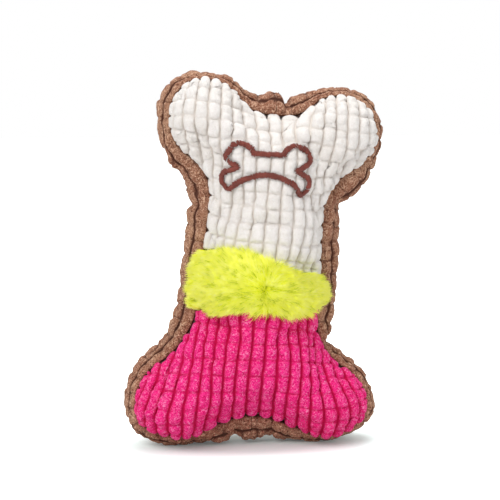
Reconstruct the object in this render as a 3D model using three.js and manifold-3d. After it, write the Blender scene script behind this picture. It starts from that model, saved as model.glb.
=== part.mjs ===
// Stuffed squeaking dog toy: a plush bone that stands upright on its two lower knobs.
// Millimetres, +Z up. The coloured front looks along -Y, and the widest line of the border lies at y = 0.
import * as THREE from 'three';
import { mergeVertices } from 'three/addons/utils/BufferGeometryUtils.js';
import Module from 'manifold-3d';

const wasm = await Module();
wasm.setup();

// Outline of the border at its widest, which is the toy's silhouette from the front.
const LOWER_KNOB_RADIUS = 28.6;
const LOWER_KNOB_SPREAD = 41; // centre of a lower knob from the middle line
const UPPER_KNOB_RADIUS = 27;
const UPPER_KNOB_SPREAD = 36.5;
const KNOB_PITCH = 155; // lower knob centres to upper knob centres
const WAIST_TOP_HALF = 42; // half the width of the shank near its top
const WAIST_TOP_DROP = 41; // where that width is measured, below the upper knob centres
const WAIST_BOTTOM_HALF = 44.5;
const WAIST_BOTTOM_RISE = 53; // where that width is measured, above the lower knob centres
const UPPER_FLANK_FILLET = 28;
const LOWER_FLANK_FILLET = 40;
const TOP_NOTCH_RADIUS = 40;
const BOTTOM_NOTCH_RADIUS = 100;

// The seam lies inside that outline, because the stuffed border stands out beyond it.
const KNOB_BULGE = 6;
const WAIST_BULGE = 10.6;
const TOP_SEAM_NOTCH_RADIUS = 26;
const BOTTOM_SEAM_NOTCH_RADIUS = 64;

// Where the border's loose cloth hangs or is tucked in: a place of its outline, how far that moves, and the
// distance over which the move dies away.
const BORDER_TUGS = [
  { x: 58, z: 150, right: 2, up: -12, reach: 17 }, // hangs under the right upper knob
  { x: -58, z: 160, right: 2, up: -8.5, reach: 18 }, // hangs under the left upper knob
  { x: 44, z: 60, right: -5.5, up: 0, reach: 13 }, // tucked in above the right foot
  { x: -60, z: 200, right: -2.5, up: 1.2, reach: 18 }, // full at the left upper knob
];
// The same for the two seams.
const SEAM_TUGS = [
  { x: -45, z: 203, right: -2.2, up: 3.2, reach: 22 }, // drawn up over the left upper knob
];

// The feet spread where the toy stands on them.
const FOOT_SPREAD = 4;
const FOOT_SPREAD_AT = { x: 62, z: 12 };
const FOOT_SPREAD_REACH = 20;

// Thickness of the toy, from front to back.
const BORDER_DEPTH = 24; // front seam to back seam
const FRONT_CROWN_SHANK = 22; // how far the front swells beyond its seam
const FRONT_CROWN_KNOB = 19;
const BACK_CROWN_SHANK = 19;
const BACK_CROWN_KNOB = 17;
const SHANK_HEAD_DROP = 32; // where the ridge of the shank forks, below the upper knob centres
const SHANK_FOOT_RISE = 34; // and above the lower knob centres

// Cloth.
const CLOTH = 2.2; // corduroy with its pile
const BORDER_WALES = 4; // cords of the corduroy across the border
const WALE_RELIEF = 1; // how far a cord stands out of its groove
const STAND_FLAT = 0.5; // depth of the flat where a knob presses on the table
const FUR_PILE = 7; // length of the fur band's pile
const BAND_TOP = 113; // upper seam of the fur band, on the middle line
const BAND_BOTTOM = 83;
const BAND_TAPER = 0.083; // slope of each band seam: the band narrows to the right

// Sewing.
const THREAD_DIAMETER = 0.8;
const SEAM_GAP = 1.6; // open width of a seam, which holds the thread

// Embroidered bone on the upper panel: two round lobes at each end, a straight top and a hollow foot.
const BADGE_DROP = 20.4; // its centre, below the upper knob centres
const BADGE_OFFSET = -6; // and beside the middle line
const BADGE_UPPER_LOBE = { x: 15.2, z: 6, radius: 7.2 };
const BADGE_LOWER_LOBE = { x: 16.9, z: -6.6, radius: 6.8 };
const BADGE_TOP = 7.5;
const BADGE_FOOT_RADIUS = 25;
const BADGE_FOOT_APEX = -3.5;
const STITCH_WIDTH = 2.8;
const STITCH_HEIGHT = 1.3;
const STITCH_CLEARANCE = 0.5;

// Filling.
const FILL_CLEARANCE = 0.8; // cloth to fibre, and fibre to squeaker
const WAD_GAP = 0.6; // between two wads of fibre

// Squeaker, along its own axis from the foot of the bulb.
const SQUEAKER_FOOT = 70; // height of the bulb's foot on the middle line
const BULB_RADIUS = 17;
const BULB_BODY = 40; // foot to the root of the neck
const BULB_WALL = 1.2;
const BULB_FOOT_ROUND = 7;
const BULB_SHOULDER = 9;
const NECK_RADIUS = 7.6;
const NECK_LENGTH = 9;
const PLUG_FIT = 0.3; // plug to neck, and reed parts to plug
const PLUG_LENGTH = 15;
const PLUG_WALL = 1.4;
const PLUG_FLANGE = 1.6;
const PLUG_BARB = 0.2; // height of the rings that grip the neck
const REED_SEAT_LENGTH = 11;
const REED_WIDTH = 4.6;
const REED_THICKNESS = 0.3;
const REED_LENGTH = 9.5;
const REED_GAP = 0.35; // reed to its seat and to its clamp
const CLAMP_LENGTH = 3.2;
const CHANNEL_WIDTH = 2.6;
const CHANNEL_DEPTH = 2;

// Lean of the standing toy towards its right: it starts above the feet, and is straight further up.
const LEAN = THREE.MathUtils.degToRad(5.3);
const LEAN_FROM = 22;
const LEAN_TO = 66;

// Facets.
const NOTCH_STEPS = 3;
const KNOB_STEPS = 12;
const FILLET_STEPS = 3;
const FLANK_STEPS = 4;
const DOME_ANGLES = [0, 14, 28, 42, 56, 70, 84].map(THREE.MathUtils.degToRad);
const COARSE_DOME_ANGLES = [0, 21, 42, 63, 84].map(THREE.MathUtils.degToRad);
const STEPS_PER_WALE = 3;
const INNER_BORDER_STEPS = 4;
const THREAD_SIDES = 5;
const THREAD_ARC_STEPS = 3; // half the sides of a thread with two ends
const STITCH_SIDES = 6;
const BADGE_POINTS = 56;
const SEAM_POINTS = 12;
const ROUND_SEGMENTS = 20;
const QUARTER_STEPS = 3;
const HALF_ROUND_STEPS = 10;
const REED_TIP_STEPS = 8;

const BEYOND = 300; // larger than the toy, for regions that cut it
const HALF_BORDER = BORDER_DEPTH / 2;
const LOWER_KNOB = new THREE.Vector2(LOWER_KNOB_SPREAD, LOWER_KNOB_RADIUS);
const UPPER_KNOB = new THREE.Vector2(UPPER_KNOB_SPREAD, LOWER_KNOB.y + KNOB_PITCH);
const SHANK_HEAD = new THREE.Vector2(0, UPPER_KNOB.y - SHANK_HEAD_DROP);
const SHANK_FOOT = new THREE.Vector2(0, LOWER_KNOB.y + SHANK_FOOT_RISE);
const SQUEAKER_DEPTH = (BACK_CROWN_SHANK - FRONT_CROWN_SHANK) / 2; // y of the middle of the filling

const corduroy = (colour) => new THREE.MeshStandardMaterial({ color: colour, roughness: 0.95, metalness: 0 });
const MATERIALS = {
  white: corduroy(0xf0ebe6),
  pink: corduroy(0xe33d79),
  brown: corduroy(0x8e5a4b),
  fur: corduroy(0xe5e451),
  embroidery: new THREE.MeshStandardMaterial({ color: 0x73372d, roughness: 0.6, metalness: 0 }),
  thread: new THREE.MeshStandardMaterial({ color: 0x5e3a30, roughness: 0.8, metalness: 0 }),
  fibre: new THREE.MeshStandardMaterial({ color: 0xf4f3ef, roughness: 1, metalness: 0 }),
  bulb: new THREE.MeshStandardMaterial({ color: 0xeceae0, roughness: 0.45, metalness: 0 }),
  reedParts: new THREE.MeshStandardMaterial({ color: 0xd8d6cc, roughness: 0.4, metalness: 0 }),
  reed: new THREE.MeshStandardMaterial({ color: 0xbfd3dc, roughness: 0.25, metalness: 0 }),
};

/** Centre of the arc that rounds the corner between a flank and a knob, on the flank's outer side. */
function flankFilletCentre(knob, knobRadius, flankStart, along, outward, radius, ahead) {
  const start = flankStart.clone().addScaledVector(outward, radius).sub(knob);
  const b = start.dot(along);
  const c = start.lengthSq() - (knobRadius + radius) ** 2;
  const reach = -b + (ahead ? 1 : -1) * Math.sqrt(b * b - c);
  return start.add(knob).addScaledVector(along, reach);
}

/** Places on an arc: each has its point, its direction into the toy, and its share of the arc. */
function arcPlaces(centre, radius, from, to, steps, inwardSign) {
  return Array.from({ length: steps }, (_, k) => {
    const share = k / steps;
    const angle = THREE.MathUtils.lerp(from, to, share);
    const out = new THREE.Vector2(Math.cos(angle), Math.sin(angle));
    const point = centre.clone().addScaledVector(out, radius);
    return { point, inward: out.multiplyScalar(inwardSign), share };
  });
}

/**
 * Places round a bone, clockwise from the top notch: arcs round the knobs, fillets, flanks and notches.
 * Each place knows its point, its inward normal, the point of the ridge that it swells towards, and how
 * far along that ridge from knob (0) to shank (1) it is.
 */
function boneOutline({ lowerRadius, upperRadius, topHalf, bottomHalf, topNotch, bottomNotch }) {
  const angleOf = (v) => Math.atan2(v.y, v.x);
  const clockwise = (from, to) => (to > from ? to - 2 * Math.PI : to);
  const counter = (from, to) => (to < from ? to + 2 * Math.PI : to);
  const notchCentre = (knob, radius, notch, sign) =>
    new THREE.Vector2(0, knob.y + sign * Math.sqrt((radius + notch) ** 2 - knob.x ** 2));
  const flankTop = new THREE.Vector2(topHalf, UPPER_KNOB.y - WAIST_TOP_DROP);
  const flankBottom = new THREE.Vector2(bottomHalf, LOWER_KNOB.y + WAIST_BOTTOM_RISE);
  const along = flankBottom.clone().sub(flankTop).normalize();
  const outward = new THREE.Vector2(-along.y, along.x);
  const top = notchCentre(UPPER_KNOB, upperRadius, topNotch, 1);
  const bottom = notchCentre(LOWER_KNOB, lowerRadius, bottomNotch, -1);
  const upperFillet = flankFilletCentre(
    UPPER_KNOB, upperRadius, flankTop, along, outward, UPPER_FLANK_FILLET, true);
  const lowerFillet = flankFilletCentre(
    LOWER_KNOB, lowerRadius, flankTop, along, outward, LOWER_FLANK_FILLET, false);
  const inwardAngle = counter(0, angleOf(outward.clone().negate()));
  const between = (a, b) => angleOf(b.clone().sub(a));

  const topEnd = between(top, UPPER_KNOB);
  const topKnobFrom = between(UPPER_KNOB, top);
  const topKnobTo = clockwise(topKnobFrom, between(UPPER_KNOB, upperFillet));
  const upperFrom = counter(0, between(upperFillet, UPPER_KNOB));
  const lowerTo = counter(inwardAngle, between(lowerFillet, LOWER_KNOB));
  const lowKnobFrom = between(LOWER_KNOB, lowerFillet);
  const lowKnobTo = clockwise(lowKnobFrom, between(LOWER_KNOB, bottom));
  const bottomFrom = between(bottom, LOWER_KNOB);
  const flankFrom = upperFillet.clone().addScaledVector(outward, -UPPER_FLANK_FILLET);
  const flankTo = lowerFillet.clone().addScaledVector(outward, -LOWER_FLANK_FILLET);
  const flank = Array.from({ length: FLANK_STEPS }, (_, k) => {
    const share = k / FLANK_STEPS;
    return { point: flankFrom.clone().lerp(flankTo, share), inward: outward.clone().negate(), share };
  });

  const topNotchArc = arcPlaces(top, topNotch, -Math.PI / 2, topEnd, NOTCH_STEPS, 1);
  const upperKnobArc = arcPlaces(UPPER_KNOB, upperRadius, topKnobFrom, topKnobTo, KNOB_STEPS, -1);
  const upperFilletArc = arcPlaces(upperFillet, UPPER_FLANK_FILLET, upperFrom, inwardAngle, FILLET_STEPS, 1);
  const lowerFilletArc = arcPlaces(lowerFillet, LOWER_FLANK_FILLET, inwardAngle, lowerTo, FILLET_STEPS, 1);
  const lowerKnobArc = arcPlaces(LOWER_KNOB, lowerRadius, lowKnobFrom, lowKnobTo, KNOB_STEPS, -1);
  const bottomNotchArc = arcPlaces(bottom, bottomNotch, bottomFrom, Math.PI / 2, NOTCH_STEPS, 1);
  const bottomMiddle = arcPlaces(bottom, bottomNotch, Math.PI / 2, Math.PI / 2, 1, 1);

  const stretches = [
    [topNotchArc, SHANK_HEAD, UPPER_KNOB, 1, 0],
    [upperKnobArc, UPPER_KNOB, UPPER_KNOB, 0, 0],
    [upperFilletArc, UPPER_KNOB, SHANK_HEAD, 0, 1],
    [flank, SHANK_HEAD, SHANK_FOOT, 1, 1],
    [lowerFilletArc, SHANK_FOOT, LOWER_KNOB, 1, 0],
    [lowerKnobArc, LOWER_KNOB, LOWER_KNOB, 0, 0],
    [bottomNotchArc, LOWER_KNOB, SHANK_FOOT, 0, 1],
    [bottomMiddle, SHANK_FOOT, SHANK_FOOT, 1, 1],
  ];
  const right = stretches.flatMap(([places, ridgeFrom, ridgeTo, shankFrom, shankTo]) =>
    places.map(({ point, inward, share }) => ({
      point,
      inward,
      ridge: ridgeFrom.clone().lerp(ridgeTo, share),
      shank: THREE.MathUtils.lerp(shankFrom, shankTo, share),
    })));
  const mirror = (v) => new THREE.Vector2(-v.x, v.y);
  const left = right.slice(1, -1).reverse().map(({ point, inward, ridge, shank }) => ({
    point: mirror(point), inward: mirror(inward), ridge: mirror(ridge), shank }));
  return [...right, ...left];
}

/** Place of an outline once its loose cloth is pulled about. */
function tugged(place, tugs) {
  const point = place.point.clone();
  tugs.forEach(({ x, z, right, up, reach }) => {
    const away = Math.hypot(place.point.x - x, place.point.y - z);
    const share = Math.exp(-((away / reach) ** 2));
    point.x += right * share;
    point.y += up * share;
  });
  return { ...place, point };
}

const CREST = boneOutline({
  lowerRadius: LOWER_KNOB_RADIUS,
  upperRadius: UPPER_KNOB_RADIUS,
  topHalf: WAIST_TOP_HALF,
  bottomHalf: WAIST_BOTTOM_HALF,
  topNotch: TOP_NOTCH_RADIUS,
  bottomNotch: BOTTOM_NOTCH_RADIUS,
}).map((place) => tugged(place, BORDER_TUGS));
const SEAM = boneOutline({
  lowerRadius: LOWER_KNOB_RADIUS - KNOB_BULGE,
  upperRadius: UPPER_KNOB_RADIUS - KNOB_BULGE,
  topHalf: WAIST_TOP_HALF - WAIST_BULGE,
  bottomHalf: WAIST_BOTTOM_HALF - WAIST_BULGE,
  topNotch: TOP_SEAM_NOTCH_RADIUS,
  bottomNotch: BOTTOM_SEAM_NOTCH_RADIUS,
}).map((place) => tugged(place, SEAM_TUGS));

/** Triangles that close a ring of points, wound the way the ring runs. */
function capTriangles(flat) {
  const clockwise = THREE.ShapeUtils.isClockWise(flat);
  return THREE.ShapeUtils.triangulateShape(flat, []).map(([a, b, c]) => {
    const turnsLeft = flat[b].clone().sub(flat[a]).cross(flat[c].clone().sub(flat[a])) > 0;
    return turnsLeft === clockwise ? [a, c, b] : [a, b, c];
  });
}

/** Closed skin over rings of equally many points: a loop, or a run whose two ends are closed. */
function loft(rings, isLoop) {
  const count = rings[0].length;
  const triangles = [];
  const last = isLoop ? rings.length : rings.length - 1;
  for (let k = 0; k < last; k++) {
    const here = k * count;
    const next = ((k + 1) % rings.length) * count;
    for (let i = 0; i < count; i++) {
      const j = (i + 1) % count;
      triangles.push([here + i, here + j, next + j], [here + i, next + j, next + i]);
    }
  }
  if (!isLoop) {
    const flat = (ring) => ring.map((p) => new THREE.Vector2(p.x, p.z));
    const end = (rings.length - 1) * count;
    capTriangles(flat(rings[0])).forEach(([a, b, c]) => triangles.push([a, c, b]));
    capTriangles(flat(rings.at(-1))).forEach((t) => triangles.push(t.map((i) => end + i)));
  }
  const points = rings.flat();
  const volume = triangles.reduce(
    (sum, [a, b, c]) => sum + points[a].dot(points[b].clone().cross(points[c])), 0);
  const outward = volume > 0 ? triangles : triangles.map(([a, b, c]) => [a, c, b]);
  const geometry = new THREE.BufferGeometry().setFromPoints(points);
  geometry.setIndex(outward.flat());
  return geometry;
}

/** Solid for joining and cutting, from a closed geometry. */
function solid(geometry) {
  const bare = new THREE.BufferGeometry();
  bare.setAttribute('position', geometry.getAttribute('position').clone());
  if (geometry.index) bare.setIndex(geometry.index.clone());
  const merged = mergeVertices(bare);
  return new wasm.Manifold(new wasm.Mesh({
    numProp: 3,
    vertProperties: new Float32Array(merged.attributes.position.array),
    triVerts: new Uint32Array(merged.index.array),
  }));
}

/** Geometry of a solid, once it is joined and cut. */
function skin(body) {
  const { vertProperties, triVerts } = body.getMesh();
  const geometry = new THREE.BufferGeometry();
  geometry.setAttribute('position', new THREE.BufferAttribute(new Float32Array(vertProperties), 3));
  geometry.setIndex(Array.from(triVerts));
  return geometry;
}

/** Region that holds everything between two corners. */
function block(low, high) {
  const size = high.clone().sub(low);
  const middle = low.clone().add(high).multiplyScalar(0.5);
  return solid(new THREE.BoxGeometry(size.x, size.y, size.z).translate(middle.x, middle.y, middle.z));
}

/** Region in front of and behind a four-sided figure of the XZ plane. */
function prism(corners) {
  const figure = new THREE.Shape(corners.map(([x, z]) => new THREE.Vector2(x, z)));
  const geometry = new THREE.ExtrudeGeometry(figure, { depth: 2 * BEYOND, bevelEnabled: false });
  return solid(geometry.rotateX(Math.PI / 2).translate(0, BEYOND, 0));
}

/** Place of a point once the toy leans. */
function leanPoint(x, z) {
  const radius = (LEAN_TO - LEAN_FROM) / LEAN;
  const turn = LEAN * THREE.MathUtils.clamp((z - LEAN_FROM) / (LEAN_TO - LEAN_FROM), 0, 1);
  const straight = Math.max(z - LEAN_TO, 0) + Math.min(z - LEAN_FROM, 0);
  return new THREE.Vector2(
    radius - (radius - x) * Math.cos(turn) + straight * Math.sin(turn),
    LEAN_FROM + (radius - x) * Math.sin(turn) + straight * Math.cos(turn),
  );
}

/** How far a place moves sideways as the foot below it spreads. */
function footSpread(x, z) {
  const away = Math.hypot(Math.abs(x) - FOOT_SPREAD_AT.x, z - FOOT_SPREAD_AT.z);
  return Math.sign(x) * FOOT_SPREAD * Math.exp(-((away / FOOT_SPREAD_REACH) ** 2));
}

/** Spreads and bends a soft piece along with the standing, leaning toy. */
function lean(geometry) {
  const at = geometry.getAttribute('position');
  for (let i = 0; i < at.count; i++) {
    const spread = at.getX(i) + footSpread(at.getX(i), at.getZ(i));
    const { x, y } = leanPoint(spread, at.getZ(i));
    at.setXYZ(i, x, at.getY(i), y);
  }
  return geometry;
}

/** One named piece of the toy. */
function piece(name, geometry, material) {
  geometry.computeVertexNormals();
  const mesh = new THREE.Mesh(geometry, material);
  mesh.name = name;
  return mesh;
}

/** Rings of a swelling face, one for each angle from its rim (0) to its ridge. */
function domeRings(side, inset, crowns, angles) {
  return angles.map((angle) => SEAM.map(({ point, inward, ridge, shank }) => {
    const rim = point.clone().addScaledVector(inward, inset);
    const flat = rim.lerp(ridge, 1 - Math.cos(angle));
    const crown = THREE.MathUtils.lerp(crowns.knob, crowns.shank, shank);
    return new THREE.Vector3(flat.x, side * (HALF_BORDER + crown * Math.sin(angle)), flat.y);
  }));
}

/** Crowns of a face, moved out by an allowance. */
const crownsOf = (side, more) => ({
  knob: (side < 0 ? FRONT_CROWN_KNOB : BACK_CROWN_KNOB) + more,
  shank: (side < 0 ? FRONT_CROWN_SHANK : BACK_CROWN_SHANK) + more,
});

/** Cloth of a whole face, front (-1) or back (1), with its pile outside the common inner surface. */
function faceCloth(side, pile) {
  const outer = domeRings(side, SEAM_GAP, crownsOf(side, pile), DOME_ANGLES);
  const inner = domeRings(side, SEAM_GAP + CLOTH, crownsOf(side, -CLOTH), COARSE_DOME_ANGLES);
  return loft([...outer.reverse(), ...inner], false);
}

/** Point of the border's section: how far out of the seam, and how far from the middle of the depth. */
function borderPoint(place, angle, more) {
  const seam = SEAM[place].point;
  const outward = CREST[place].point.clone().sub(seam);
  const bulge = outward.length();
  const flat = seam.clone().addScaledVector(outward.normalize(), (bulge + more) * Math.cos(angle));
  return new THREE.Vector3(flat.x, (HALF_BORDER + more) * Math.sin(angle), flat.y);
}

/** Angles across the border, from the front seam to the back seam. */
const borderAngles = (steps) =>
  Array.from({ length: steps + 1 }, (_, k) => Math.PI * (k / steps - 0.5));

/** Ring of corduroy round the whole edge, with its cords running along it. */
function borderCloth() {
  const outerSteps = BORDER_WALES * STEPS_PER_WALE;
  const relief = (angle) => WALE_RELIEF * Math.abs(Math.sin(BORDER_WALES * (angle + Math.PI / 2)));
  const sections = SEAM.map((_, place) => [
    ...borderAngles(outerSteps).map((angle) => borderPoint(place, angle, relief(angle))),
    ...borderAngles(INNER_BORDER_STEPS).reverse().map((angle) => borderPoint(place, angle, -CLOTH)),
  ]);
  return loft(sections, true);
}

/** Left (-1) or right (1) strip of the border, cut flat where it stands. */
function borderStrip(ring, side) {
  const standing = ring.boundingBox().min[2] + STAND_FLAT;
  const [near, far] = [side * SEAM_GAP / 2, side * BEYOND];
  const low = new THREE.Vector3(Math.min(near, far), -BEYOND, standing);
  const high = new THREE.Vector3(Math.max(near, far), BEYOND, BEYOND);
  return lean(skin(ring.intersect(block(low, high))));
}

/** Heights of the band's two seams at x. */
const bandTop = (x) => BAND_TOP - BAND_TAPER * x;
const bandBottom = (x) => BAND_BOTTOM + BAND_TAPER * x;

/** Region between two lines that run across the toy, each moved by an allowance. */
const across = (lowLine, highLine) => prism([
  [-BEYOND, lowLine(-BEYOND)],
  [BEYOND, lowLine(BEYOND)],
  [BEYOND, highLine(BEYOND)],
  [-BEYOND, highLine(-BEYOND)],
]);

/** The three cloths of the front, which meet at the band's seams. */
function frontPanels() {
  const corduroyFace = solid(faceCloth(-1, 0));
  const furFace = solid(faceCloth(-1, FUR_PILE));
  const half = SEAM_GAP / 2;
  const slopeRoom = BEYOND * (1 + BAND_TAPER);
  const upper = across((x) => bandTop(x) + half, () => slopeRoom);
  const lower = across(() => -slopeRoom, (x) => bandBottom(x) - half);
  const bandRegion = prism([
    [-WAIST_BOTTOM_HALF, bandBottom(-WAIST_BOTTOM_HALF) + half],
    [WAIST_BOTTOM_HALF, bandBottom(WAIST_BOTTOM_HALF) + half],
    [WAIST_BOTTOM_HALF, bandTop(WAIST_BOTTOM_HALF) - half],
    [-WAIST_BOTTOM_HALF, bandTop(-WAIST_BOTTOM_HALF) - half],
  ]);
  return [
    piece('front_upper_panel', lean(skin(corduroyFace.intersect(upper))), MATERIALS.white),
    piece('front_fur_band', lean(skin(furFace.intersect(bandRegion))), MATERIALS.fur),
    piece('front_lower_panel', lean(skin(corduroyFace.intersect(lower))), MATERIALS.pink),
  ];
}

/** Depth of the front cloth's outer surface at a place of the XZ plane. */
const frontSurface = (() => {
  const face = new THREE.Mesh(faceCloth(-1, 0), MATERIALS.white);
  const towardsBack = new THREE.Vector3(0, 1, 0);
  return (x, z) => {
    const ray = new THREE.Raycaster(new THREE.Vector3(x, -BEYOND, z), towardsBack);
    return ray.intersectObject(face)[0].point.y;
  };
})();

/** Rings of an oval section along a path, square to it, with the section's height along up. */
function sectionsAlong(path, up, halfWidth, halfHeight, sides, isLoop) {
  const at = (k) => (isLoop
    ? path[(k + path.length) % path.length]
    : path[THREE.MathUtils.clamp(k, 0, path.length - 1)]);
  return path.map((point, k) => {
    const forward = at(k + 1).clone().sub(at(k - 1)).normalize();
    const sideways = forward.clone().cross(up).normalize();
    const upright = sideways.clone().cross(forward);
    return Array.from({ length: sides }, (_, i) => {
      const angle = (2 * Math.PI * i) / sides;
      return point.clone()
        .addScaledVector(sideways, halfWidth * Math.cos(angle))
        .addScaledVector(upright, halfHeight * Math.sin(angle));
    });
  });
}

/** Thread that runs once round the toy, in the seam of the front (-1) or the back (1). */
function edgeThread(side) {
  const depth = side * (HALF_BORDER - THREAD_DIAMETER / 4);
  const path = SEAM.map(({ point, inward }) => {
    const flat = point.clone().addScaledVector(inward, SEAM_GAP / 2);
    return new THREE.Vector3(flat.x, depth, flat.y);
  });
  const radius = THREAD_DIAMETER / 2;
  const depthwise = new THREE.Vector3(0, 1, 0);
  return lean(loft(sectionsAlong(path, depthwise, radius, radius, THREAD_SIDES, true), true));
}

/** Round thread along a path with two ends. */
function thread(path) {
  const radius = THREAD_DIAMETER / 2;
  const section = new THREE.Shape().absarc(0, 0, radius, 0, 2 * Math.PI);
  const curve = new THREE.CatmullRomCurve3(path);
  return lean(new THREE.ExtrudeGeometry(section, {
    extrudePath: curve, steps: path.length - 1, curveSegments: THREAD_ARC_STEPS, bevelEnabled: false }));
}

/** Half the width of the shank at a height, where the border is widest. */
const shankHalf = (z) => THREE.MathUtils.mapLinear(
  z, LOWER_KNOB.y + WAIST_BOTTOM_RISE, UPPER_KNOB.y - WAIST_TOP_DROP, WAIST_BOTTOM_HALF, WAIST_TOP_HALF);

/** Thread in a seam of the band, across the front from rim to rim, at half the depth of the cloth. */
function bandThread(line) {
  const reach = shankHalf(line(0)) - WAIST_BULGE - SEAM_GAP - CLOTH;
  const path = Array.from({ length: SEAM_POINTS + 1 }, (_, k) => {
    const x = reach * Math.sin(Math.PI * (k / SEAM_POINTS - 0.5));
    return new THREE.Vector3(x, frontSurface(x, line(x)) + CLOTH / 2, line(x));
  });
  return thread(path);
}

/** Thread that joins the two strips of the border, over its crest at the notch of the given place. */
function joinThread(place) {
  const inSeam = 0.8; // share of the half depth that the join spans, short of the edge threads
  const angles = borderAngles(SEAM_POINTS).map((angle) => angle * inSeam);
  return thread(angles.map((angle) => borderPoint(place, angle, -CLOTH / 2)));
}

/** Outline of the embroidered bone on the XZ plane, about its centre. */
function badgeOutline() {
  const { x: ux, z: uz, radius: ur } = BADGE_UPPER_LOBE;
  const { x: lx, z: lz, radius: lr } = BADGE_LOWER_LOBE;
  const footCentre = BADGE_FOOT_APEX - BADGE_FOOT_RADIUS;
  const upperStart = Math.PI - Math.asin((BADGE_TOP - uz) / ur);
  const apart = Math.hypot(lx - ux, lz - uz);
  const heading = Math.atan2(lz - uz, lx - ux);
  const upperSpread = Math.acos((apart ** 2 + ur ** 2 - lr ** 2) / (2 * apart * ur));
  const lowerSpread = Math.acos((apart ** 2 + lr ** 2 - ur ** 2) / (2 * apart * lr));
  const footReach = Math.hypot(lx, lz - footCentre);
  const footAngle = Math.atan2(lz - footCentre, lx);
  const footSpread = Math.acos(
    (footReach ** 2 + BADGE_FOOT_RADIUS ** 2 - lr ** 2) / (2 * footReach * BADGE_FOOT_RADIUS));
  const meet = footAngle - footSpread;
  const lowerEnd = Math.atan2(
    footCentre + BADGE_FOOT_RADIUS * Math.sin(meet) - lz, BADGE_FOOT_RADIUS * Math.cos(meet) - lx);
  return new THREE.Path()
    .absarc(ux, uz, ur, upperStart, heading + upperSpread, true)
    .absarc(lx, lz, lr, heading + Math.PI - lowerSpread, lowerEnd, true)
    .absarc(0, footCentre, BADGE_FOOT_RADIUS, meet, Math.PI - meet, false)
    .absarc(-lx, lz, lr, Math.PI - lowerEnd, lowerSpread - heading, true)
    .absarc(-ux, uz, ur, Math.PI - heading - upperSpread, Math.PI - upperStart, true)
    .closePath();
}

/** Satin-stitched bone, a raised line that lies on the upper panel. */
function embroideredBone() {
  const middle = UPPER_KNOB.y - BADGE_DROP;
  const rise = STITCH_CLEARANCE + STITCH_HEIGHT / 2;
  const half = STITCH_WIDTH / 2;
  const path = badgeOutline().getSpacedPoints(BADGE_POINTS).slice(0, -1).map((point) => {
    const [x, z] = [point.x + BADGE_OFFSET, point.y + middle];
    const highest = Math.min(...[-half, 0, half].map((aside) => frontSurface(x + aside, z)));
    return new THREE.Vector3(x, highest - rise, z);
  });
  const rings = sectionsAlong(
    path, new THREE.Vector3(0, -1, 0), half, STITCH_HEIGHT / 2, STITCH_SIDES, true);
  return lean(loft(rings, true));
}

/** Side profile of the squeaker from foot to flange, moved out by an allowance, as the fibre meets it. */
function squeakerEnvelope(more) {
  const top = BULB_BODY + NECK_LENGTH + PLUG_FIT + PLUG_FLANGE;
  const profile = [
    [0, -more],
    ...bulbOuter().slice(1, -1).map(([r, z]) => [r + more, z < BULB_FOOT_ROUND ? z - more : z]),
    [NECK_RADIUS + more, top + more],
    [0, top + more],
  ];
  return revolve(profile);
}

/** Solid of revolution about the squeaker's own axis, from pairs of radius and height. */
function revolve(profile) {
  const points = profile.map(([r, z]) => new THREE.Vector2(r, z));
  return new THREE.LatheGeometry(points, ROUND_SEGMENTS).rotateX(Math.PI / 2);
}

/** Quarter round in a profile, from one angle to another in degrees. */
function quarter(r, z, radius, from, to) {
  return Array.from({ length: QUARTER_STEPS + 1 }, (_, k) => {
    const angle = THREE.MathUtils.degToRad(THREE.MathUtils.lerp(from, to, k / QUARTER_STEPS));
    return [r + radius * Math.cos(angle), z + radius * Math.sin(angle)];
  });
}

/** Outer profile of the bulb: a rounded foot, a barrel, a shoulder and a neck. */
const bulbOuter = () => [
  [0, 0],
  ...quarter(BULB_RADIUS - BULB_FOOT_ROUND, BULB_FOOT_ROUND, BULB_FOOT_ROUND, -90, 0),
  ...quarter(BULB_RADIUS - BULB_SHOULDER, BULB_BODY - BULB_SHOULDER, BULB_SHOULDER, 0, 80),
  [NECK_RADIUS, BULB_BODY],
  [NECK_RADIUS, BULB_BODY + NECK_LENGTH],
];

/** Blown bulb: one wall all over, open at the neck. */
function squeakerBulb() {
  const thin = (radius) => radius - BULB_WALL;
  const inner = [
    [0, BULB_WALL],
    ...quarter(BULB_RADIUS - BULB_FOOT_ROUND, BULB_FOOT_ROUND, thin(BULB_FOOT_ROUND), -90, 0),
    ...quarter(BULB_RADIUS - BULB_SHOULDER, BULB_BODY - BULB_SHOULDER, thin(BULB_SHOULDER), 0, 80),
    [thin(NECK_RADIUS), BULB_BODY - BULB_WALL],
    [thin(NECK_RADIUS), BULB_BODY + NECK_LENGTH],
  ];
  return revolve([...bulbOuter(), ...inner.reverse()]);
}

const PLUG_RADIUS = NECK_RADIUS - BULB_WALL - PLUG_FIT;
const PLUG_BORE = PLUG_RADIUS - PLUG_WALL;
const FLANGE_SEAT = BULB_BODY + NECK_LENGTH + PLUG_FIT;
const REED_ROOT = FLANGE_SEAT + PLUG_FLANGE - PLUG_FIT; // outer end of the seat, reed and clamp

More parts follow.
